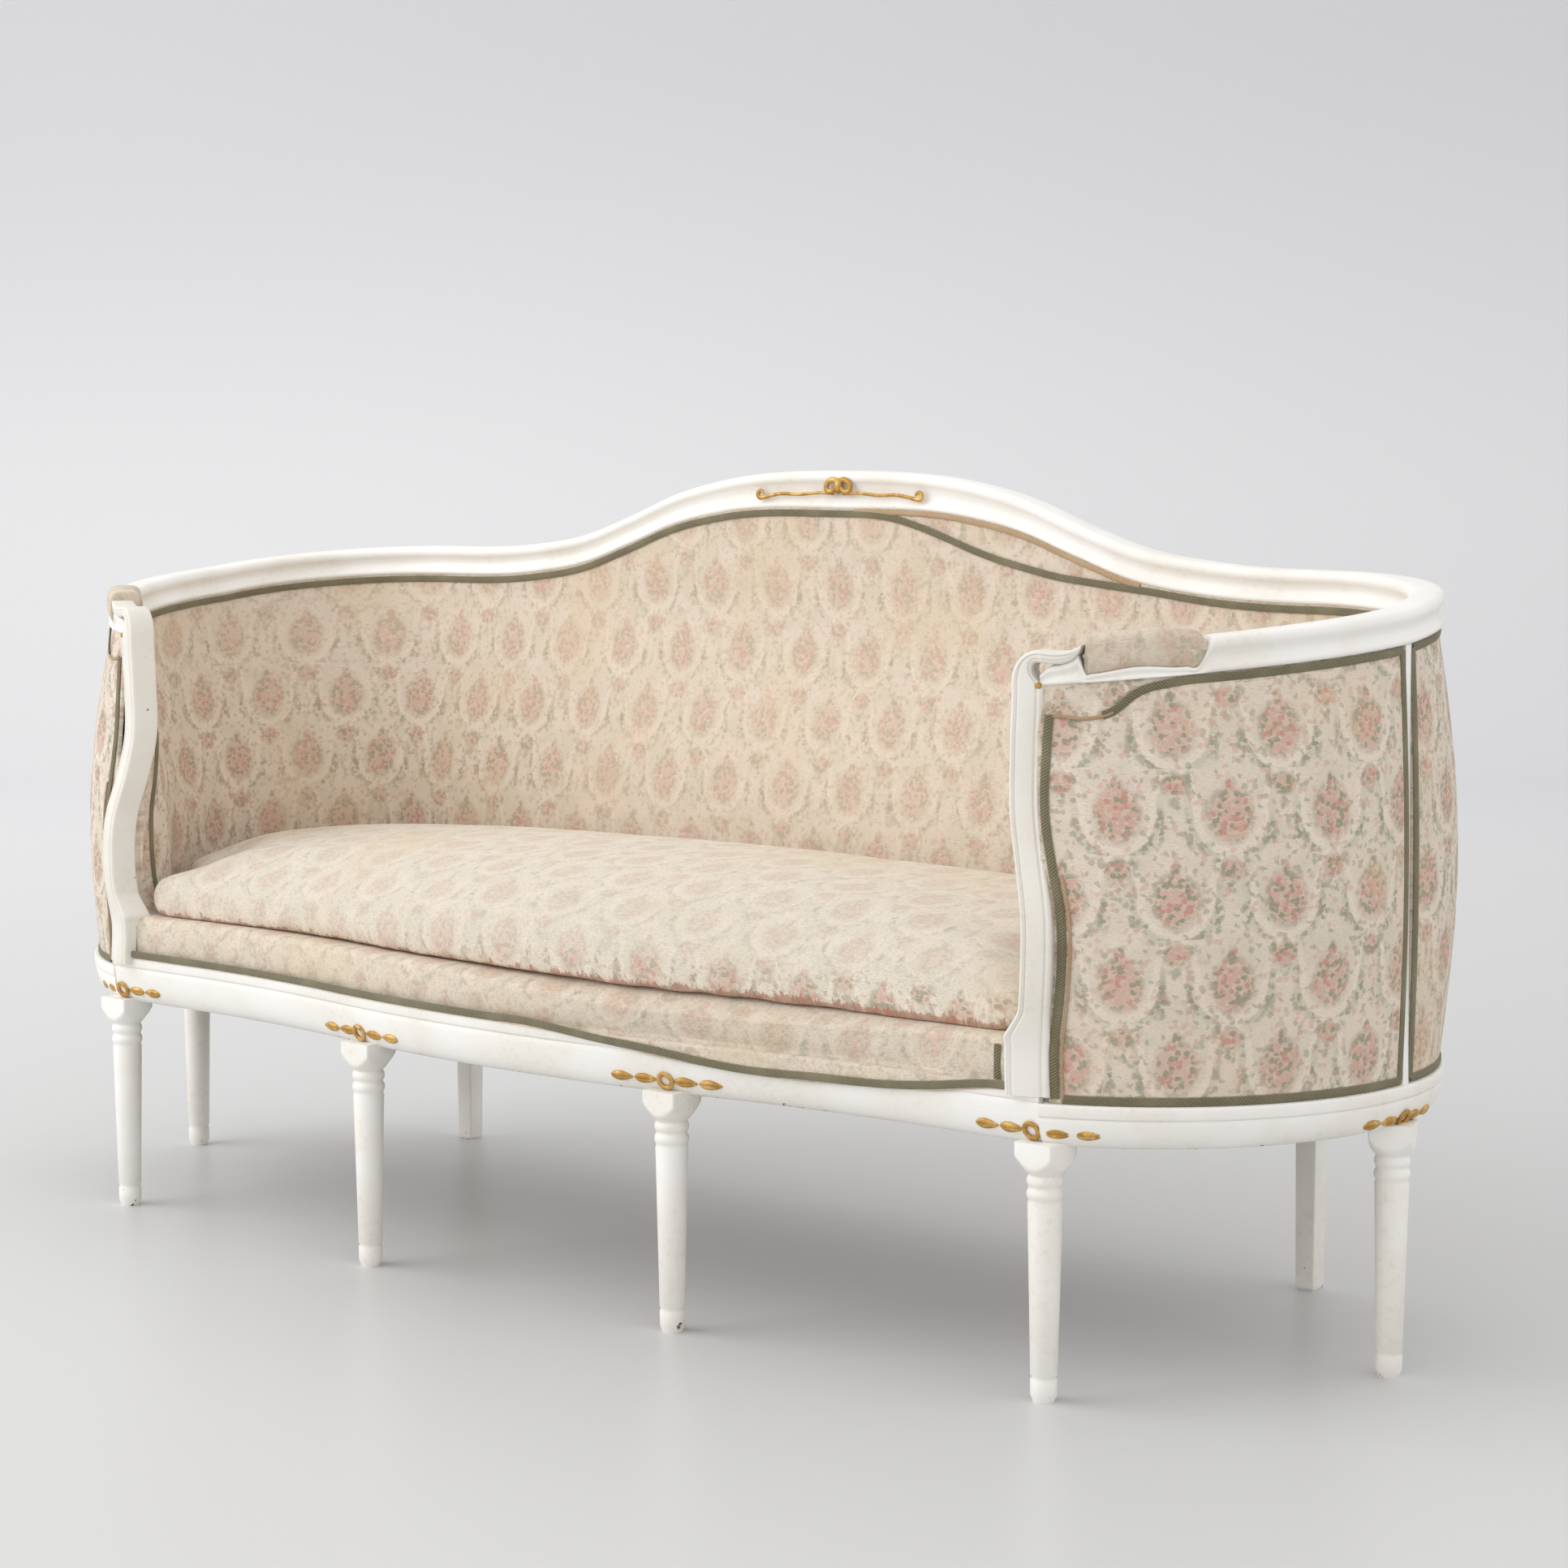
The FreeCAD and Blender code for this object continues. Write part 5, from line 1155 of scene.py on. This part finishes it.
def blown(piece, low):
    """Blow the cushion's cover up as cloth, so that its edges round and the cover creases.

    The cover is remeshed evenly and simulated with air pressure and no gravity for twenty
    frames, its seams drawing in. Each point's way is then shortened smoothly below the
    travel, and nothing passes below the level the cushion rests on.
    """
    even = piece.modifiers.new("even_mesh", "REMESH")
    even.mode = "VOXEL"
    even.voxel_size = COVER_SPACING * METRES
    state = bpy.context.evaluated_depsgraph_get()
    mesh = bpy.data.meshes.new_from_object(piece.evaluated_get(state))
    piece.modifiers.clear()
    piece.data = mesh
    start = point_array(mesh)
    seams = piece.vertex_groups.new(name="seams")
    near = np.abs(start[:, 2] / METRES - low - 14.0) < 7.0
    seams.add(np.flatnonzero(near).tolist(), 1.0, "REPLACE")
    cloth = piece.modifiers.new("cover", "CLOTH")
    for name, value in COVER_SETTINGS.items():
        setattr(cloth.settings, name, value)
    cloth.settings.effector_weights.gravity = 0.0
    cloth.point_cache.frame_start, cloth.point_cache.frame_end = 1, COVER_FRAMES
    for moment in range(1, COVER_FRAMES + 1):
        bpy.context.scene.frame_set(moment)
    state = bpy.context.evaluated_depsgraph_get()
    done = bpy.data.meshes.new_from_object(piece.evaluated_get(state))
    way = point_array(done) - start
    piece.modifiers.clear()
    piece.vertex_groups.clear()
    bpy.context.scene.frame_set(1)
    length = np.linalg.norm(way, axis=1)[:, None] + 1e-9
    limit = COVER_TRAVEL * METRES
    place = start + way * np.tanh(length / limit) * limit / length
    place[:, 2] = np.maximum(place[:, 2], low * METRES)
    move_points(mesh, place)


def map_by_place(mesh):
    """Cloth map from each point's place: across the seat, and front to back with the height."""
    place = point_array(mesh)
    corner = np.empty(len(mesh.loops), dtype=np.int32)
    mesh.loops.foreach_get("vertex_index", corner)
    layer = mesh.uv_layers.new(name="cloth")
    flat = np.stack([place[corner, 0], place[corner, 1] + place[corner, 2]], -1)
    layer.data.foreach_set("uv", flat.ravel())


def sink_front(mesh):
    """Lets the cushion's front follow the sunken edge under it."""
    place = point_array(mesh)
    x, y, z = (place / METRES).T
    place[:, 2] = sunk(x, y + DEPTH_MIDDLE, z) * METRES
    move_points(mesh, place)


def make_cushion():
    """Loose cushion: a stuffed cover on the deck, blown up as cloth."""
    plan = seat_plan(BAND_OUT + 1.0, 724.0, SEAT_PAD_IN + 3.0, 24.0)
    low = DECK_TOP + 0.5
    small = 0.992
    bottom = [(small * share, low) for share in np.linspace(0.04, 0.94, 10)]
    turn = np.linspace(-np.pi / 2, np.pi / 2, 13)
    side = [(small * (0.97 + 0.03 * np.cos(a)), low + 31.0 + 31.0 * np.sin(a)) for a in turn]
    crown = [(small * 0.965 * (1 - share), low + 62.0 + 38.0 * (1 - (1 - share) ** 2.4))
             for share in np.linspace(0, 0.96, 26)[1:]]
    rings = shrunk_rings(plan, [0.0, 265.0], bottom + side + crown)
    height = np.clip((rings[..., 2] - low) / 100.0, 0, 1)
    rings[..., 2] -= (low + 100.0 - cushion_top(rings[..., 0], rings[..., 1])) * height
    piece = loft("cushion_cloth", rings, body="cushion")
    blown(piece, low)
    sink_front(piece.data)
    map_by_place(piece.data)
    finer = piece.modifiers.new("finer", "SUBSURF")
    finer.levels = finer.render_levels = 1
    piece.data.polygons.foreach_set("use_smooth", np.ones(len(piece.data.polygons), dtype=bool))
    dress(piece, cushion_cloth, "floral_fabric", "seat_cushion")
    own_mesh(piece)


# Braid

def braid_strip(name, place, out, width=BRAID_WIDTH, thick=2.6, cloth=None):
    """Flat oval braid carried along a path on a surface, whose outward direction is out.

    Its map runs along and across it.
    """
    across = np.cross(np.gradient(place, axis=0), out)
    across /= np.linalg.norm(across, axis=1)[:, None]
    out = np.cross(across, np.gradient(place, axis=0))
    out /= np.linalg.norm(out, axis=1)[:, None]
    turn = np.linspace(0, 2 * np.pi, 17)[:-1]
    section = np.stack([width / 2 * np.cos(turn), thick / 2 * np.sin(turn)], -1)
    rings = swept(place, across, out, section[None])
    over = np.linspace(0, 2 * BRAID_WIDTH, len(turn) + 1)
    uv = np.stack(np.broadcast_arrays(travel(place)[:, None], over), -1)
    return dress(loft(name, rings, uv), cloth or braid, "braid")


def make_inside_braid():
    """Braid under the upper ring; loose in a long sag right of the hump."""
    t = np.linspace(0.1, 4.9, 700)
    ring = Ring(t)
    x = ring.head[:, 0] * ring.mirror
    droop = 37.0 * bump((500.0 - x) / 470.0)
    droop = np.where((t > 2) & (t < 2.6), droop, 0)
    place = inside_place(t, (ring.under - 5.5 - droop)[:, None], 1.6)[:, 0]
    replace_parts(braid_strip("inside_braid", place, -ring.outward), "inside_gimp")
    t = t[(x > 20) & (x < 470) & (t > 2)]
    ring = Ring(t)
    place = inside_place(t, (ring.under - 3.0)[:, None], 1.2)[:, 0]
    braid_strip("inside_worn_edge", place, -ring.outward, 7.0, cloth=worn_trim)
    for side, first in (("right", 0.05), ("left", RING_END - 0.03)):
        z = np.linspace(DECK_TOP + 4.0, Ring(np.array([0.1])).under[0] - 6.0, 60)
        t = 0 * z + first
        place = inside_place(t[:1], z[None], 1.2)[0]
        braid_strip("inside_post_braid_" + side, place, -Ring(t).outward + [0, -0.9, 0], 8.0)


BAY_INSET = 10.5
POST_INSET = 23.0
TRIM_TOP = 560.0
LOOSE_UNTIL = 0.165
LOOSE_SHARES = (0.0, 0.06, 0.14, 0.19, 0.25, 0.33, 0.45)
LOOSE_DROPS = (24.0, 25.0, 30.0, 26.0, 8.0, 1.0, 0.0)


def make_outside_braid():
    """Braid round each outside panel: under the rail, down the sides, along the seat rail.

    At the arm's front it follows the post's S and, at the top, hangs off the rail.
    """
    share = np.linspace(0, 1, 120)
    side, corner = BAY_INSET / SIDE_LENGTH, BAY_INSET / CORNER_LENGTH
    bays = (("arm", POST_INSET / SIDE_LENGTH, 1 - side), ("corner", 1 + corner, 2 - corner))
    for bay, first, last in bays:
        t = mix(first, last, share)
        droop = hermite(t, LOOSE_SHARES, LOOSE_DROPS) if bay == "arm" else 0 * t
        low, high = RAIL_LEDGE + 5.5, Ring(t).under - 5.5 - droop
        front_t, front_z = first + 0 * t, mix(low, high[0], share)
        cut = t > (LOOSE_UNTIL if bay == "arm" else 0)
        if bay == "arm":
            front_t = front_t + np.stack(post_sway(front_z), -1) @ unit(SIDE_TURN)[:2] / SIDE_LENGTH
        runs = {"top": (t[cut], high[cut], BRAID_WIDTH), "foot": (t, 0 * t + low, BRAID_WIDTH),
                "rear": (0 * t + last, mix(low, high[-1], share), BRAID_WIDTH),
                "front": (front_t, front_z, 10.0)}
        if bay == "arm":
            lower = front_z < TRIM_TOP
            runs["trim"] = ((front_t + 8.0 / SIDE_LENGTH)[lower], front_z[lower], 3.5)
            runs["loose"] = (t[t < 0.2], (high - 1.0)[t < 0.2], 4.0)
        for run, (places, z, width) in runs.items():
            for side, hand in SIDES:
                ring = Ring(places if hand > 0 else RING_END - places)
                place = ring.point(outside_surface(ring, z) + 1.2, z)
                piece = braid_strip("_".join((bay, run, "braid", side)), place, ring.outward, width,
                                    3.6 if run == "front" else 2.6,
                                    worn_trim if run in ("trim", "loose") else braid)
                if (bay, run) == ("arm", "top"):
                    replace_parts(piece, "outside_gimp_" + side)


def make_front_braid():
    """Braid along the foot of the front band, a little loose on the right, up both ends."""
    end = FRONT_LEG_X - 36.0
    half = BRAID_WIDTH / 2
    x, place, out = front_line(end, 400)
    z = loose_edge(x) + half + 1.0 * np.sin(x / 31.0) * (x > 0)
    place = place + UP * z[:, None] + out * (loose_out(z - half) + 1.9)[:, None]
    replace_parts(braid_strip("front_braid", place, out), "front_gimp")
    for side, x in (("right", end - 17.0), ("left", -end - 1.0)):
        z = np.linspace(RAIL_TOP + 4, DECK_TOP - 12, 24)
        place = np.stack([0 * z + x, 0 * z - BAND_OUT - 1.6, z], -1)
        braid_strip("front_end_braid_" + side, place, unit(-np.pi / 2))


# Gilt ornaments

def rail_face(top, place, normal):
    """Place, outward and upward directions on the middle of the rail's round."""
    turn = np.radians(40.0)
    drop = top - 15.0
    out = RAIL_OUT - 1.5 - ROUND_DEPTH * (1 - np.cos(turn))
    up = drop - (drop - RAIL_BOTTOM) * np.sin(turn)
    slope_out, slope_up = ROUND_DEPTH * np.sin(turn), (drop - RAIL_BOTTOM) * np.cos(turn)
    size = np.hypot(slope_out, slope_up)
    face = (normal * slope_up - UP * slope_out) / size
    rise = (normal * slope_out + UP * slope_up) / size
    return place + normal * out + UP * up, face, rise


def ornament_spot(leg, along):
    """Rail top, place and outward direction, at a distance along the rail from a leg."""
    if leg == "bow":
        x = INNER_LEG_X + along
        turn = np.arctan((front_y(x + 1) - front_y(x - 1)) / 2) - np.pi / 2
        return RAIL_TOP, level_point(x, float(front_y(x))), unit(turn)
    if leg == "corner" and along <= 0:
        return RAIL_TOP, level_point(FRONT_LEG_X + along, 0.0), unit(-np.pi / 2)
    if leg == "corner":
        ring = Ring(along / SIDE_LENGTH)
        return RAIL_LEDGE + 12.0, ring.foot, ring.normal
    ring = Ring(1 + along / (SIDE_LENGTH if along < 0 else CORNER_LENGTH))
    return RAIL_LEDGE, ring.foot, ring.normal


def make_gilt_ring(name, spot, hand):
    """Small moulded ring: a round tube bent round a circle on the rail's face."""
    place, face, rise = rail_face(*spot)
    side = np.cross(rise, face)
    turn = np.linspace(0, 2 * np.pi, 33)[:-1, None]
    tube = np.linspace(0, 2 * np.pi, 13)[:-1]
    radius = 8.6 + 2.8 * np.cos(tube)[None]
    lift = 1.6 + 2.2 * np.sin(tube)[None] + 0 * turn
    rings = (place + side * (radius * np.cos(turn))[..., None]
             + rise * (radius * np.sin(turn))[..., None] + face * lift[..., None])
    rings = np.concatenate([rings, rings[:1]]) * [hand, 1, 1]
    return dress(loft(name, rings, caps=False), gilt, "gilt")


def make_leaf(name, leg, middle, hand, size=(36.0, 10.5)):
    """Pointed leaf laid on the rail: width a sine along it, height a dome with a vein."""
    share = np.linspace(0, 1, 19)
    width = size[1] / 2 * np.sin(np.pi * share ** 0.8) ** 0.8 + 0.15
    over = np.linspace(-1, 1, 13)
    spots = [rail_face(*ornament_spot(leg, middle + size[0] * (s - 0.5))) for s in share]
    place, face, rise = (np.array([spot[k] for spot in spots]) for k in range(3))
    place[:, 2] = np.mean(place[:, 2])
    dome = 3.6 * np.sqrt(np.clip(1 - over ** 2, 0, 1)) * (1 - 0.35 * np.exp(-(over / 0.18) ** 2))
    flat = over * width[:, None]
    high = dome[None] * (width / width.max())[:, None] + 0.3
    upper = place[:, None] + rise[:, None] * flat[..., None] + face[:, None] * high[..., None]
    lower = place[:, None] + rise[:, None] * flat[:, ::-1, None] * 0.98 - face[:, None] * 0.6
    rings = np.concatenate([upper, lower], 1) * [hand, 1, 1]
    return dress(loft(name, rings), gilt, "gilt")


def make_leg_ornaments():
    for leg, centre, scale in (("bow", 0.0, 0.92), ("corner", -9.0, 0.9), ("side", 0.0, 0.85)):
        for side, hand in SIDES:
            piece = make_gilt_ring("_".join(("gilt_ring", leg, side)), ornament_spot(leg, centre), hand)
            if leg == "bow" and hand == 1:
                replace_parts(piece, "leg_ornaments")
            for step, middle in enumerate((-64.0, -29.0, 29.0, 64.0)):
                name = "_".join(("gilt_leaf", leg, side, str(step + 1)))
                make_leaf(name, leg, centre + middle * scale, hand, (34.0 * scale, 12.0))


def make_crest_ornament():
    """Ribbon knot on the crest: two loops, a middle and two waving ribbons with curled ends."""
    face_y = CREST_Y - CREST_THICKNESS / 2 - 1.0
    z = CREST_TOP - 22.0
    for side, hand in SIDES:
        run = np.linspace(0, 1, 70)
        wave = -7.0 + 1.2 * np.sin(3 * np.pi * run) - 6.0 * ease((run - 0.6) / 0.4)
        place = np.stack([hand * mix(8.0, 130.0, run), 0 * run + face_y - 1.0, z + wave], -1)
        curl = np.linspace(0, 1.5 * np.pi, 24)[1:, None]
        end = place[-1] + 4.4 * np.concatenate([hand * np.sin(curl), 0 * curl, 1 - np.cos(curl)], 1)
        place = np.concatenate([place, end])
        half = np.interp(np.arange(len(place)), (0, 30, 62, 76, len(place) - 1), (1.8, 2.2, 2.4, 3.8, 2.0))
        across = np.cross(np.gradient(place, axis=0), [0, 1.0, 0])
        across /= np.linalg.norm(across, axis=1)[:, None]
        turn = np.linspace(0, 2 * np.pi, 11)[:-1]
        section = np.stack([half[:, None] * np.cos(turn), 1.6 * np.sin(turn) + 0 * half[:, None]], -1)
        rings = swept(place, across, [0, -1.0, 0], section)
        dress(loft("crest_ribbon_" + side, rings), gilt, "gilt")
        turn = np.linspace(0, 2 * np.pi, 40)[:-1, None]
        tube = np.linspace(0, 2 * np.pi, 11)[:-1]
        thick = 3.8 * np.cos(tube)
        ring = np.stack([hand * (11.0 + (8.5 + thick) * np.cos(turn)),
                         face_y - 1.5 - 2.6 * np.sin(tube) + 0 * turn,
                         z + 3.5 + (7.5 + thick) * np.sin(turn) - 2.0 * np.cos(turn)], -1)
        ring = np.concatenate([ring, ring[:1]])
        dress(loft("crest_bow_" + side, ring, caps=False), gilt, "gilt")
    middle = np.array([0.0, face_y - 1.0, z + 3.0])
    ball = egg(middle, np.array([7.0, 0, 0]), 10.5 * UP, np.array([0, -5.0, 0]))
    dress(loft("crest_knot", ball, caps=False), gilt, "gilt", "crest_ornament")


# Floor, light and camera

CAMERA_PLACE = (2782.0, -2907.0, 1007.0)
CAMERA_TURN = (84.28, 0.0, 39.53)
CAMERA_LENS = 79.19
LAMP_PLACE = (-3.5, -3.5, 3.4)
LAMP_SIZE = 4.6
LAMP_POWER = 140
SKY_STRENGTH = 1.04


def make_stage():
    """Pale floor that curves up into a backdrop: a level, a quarter circle and a wall."""
    turn = np.linspace(0, np.pi / 2, 24)
    radius, back = 2500.0, 6000.0
    y = np.concatenate([[-9000.0], back + radius * np.sin(turn), [back + radius]])
    z = np.concatenate([[0.0], radius * (1 - np.cos(turn)), [9000.0]])
    x = np.array([-14000.0, 14000.0])
    along = np.radians(CAMERA_TURN[2])
    spots = np.stack([x[:, None] * np.cos(along) - y * np.sin(along),
                      x[:, None] * np.sin(along) + y * np.cos(along), z + 0 * x[:, None]], -1)
    step = np.arange(len(y) - 1)
    quads = np.stack([step, step + len(y), step + len(y) + 1, step + 1], -1)
    floor = mesh_piece("studio_floor", spots, quads.tolist())
    n = Nodes("studio_grey")
    x, y, z = n.parts(n.place())
    sine, cosine = float(np.sin(along)), float(np.cos(along))
    # The backdrop is painted darker upward and towards the right: painted shade where the light falls off.
    wall = n.blend(z.step(0.2, 2.6), rgb(233, 233, 234), rgb(214, 214, 217))
    wall = n.blend((x * cosine + y * sine).step(-2.0, 4.0) * 0.5, wall, rgb(203, 203, 205))
    colour = n.blend((x * -sine + y * cosine).step(0.8, 5.5), rgb(209, 209, 208), wall)
    floor.data.materials.append(n.finish(colour, 0.35))


def stand(data, place, turn):
    """Object for a lamp or camera, at a place in metres and turned by angles in degrees."""
    thing = bpy.data.objects.new(data.name, data)
    thing.location, thing.rotation_euler = place, tuple(np.radians(turn))
    bpy.context.scene.collection.objects.link(thing)
    return thing


def make_light():
    """An even pale sky, and one large soft lamp high at the front left."""
    world = bpy.data.worlds.new("studio")
    bpy.context.scene.world = world
    world.use_nodes = True
    sky = world.node_tree.nodes["Background"]
    sky.inputs[0].default_value = (1, 1, 1, 1)
    sky.inputs[1].default_value = SKY_STRENGTH
    data = bpy.data.lights.new("key", "AREA")
    data.size, data.energy = LAMP_SIZE, LAMP_POWER
    aim = Vector((0, 0, 0.5)) - Vector(LAMP_PLACE)
    stand(data, LAMP_PLACE, np.degrees(aim.to_track_quat("-Z", "Y").to_euler()))


def make_camera():
    data = bpy.data.cameras.new("camera")
    data.lens, data.sensor_width, data.clip_end = CAMERA_LENS, 36.0, 60.0
    x, y, z = CAMERA_PLACE
    place = (x * METRES, (y - DEPTH_MIDDLE) * METRES, z * METRES)
    bpy.context.scene.camera = stand(data, place, CAMERA_TURN)


for make in (keep_cad_pieces, make_seat_rails, make_legs, make_top_rails, make_posts, make_inside_walls,
             make_outside_walls, make_arm_pads, make_front_band, make_deck, make_cushion,
             make_inside_braid, make_outside_braid, make_front_braid, make_leg_ornaments, make_crest_ornament,
             make_stage, make_light, make_camera):
    make()
bpy.context.scene.view_settings.view_transform = "Standard"
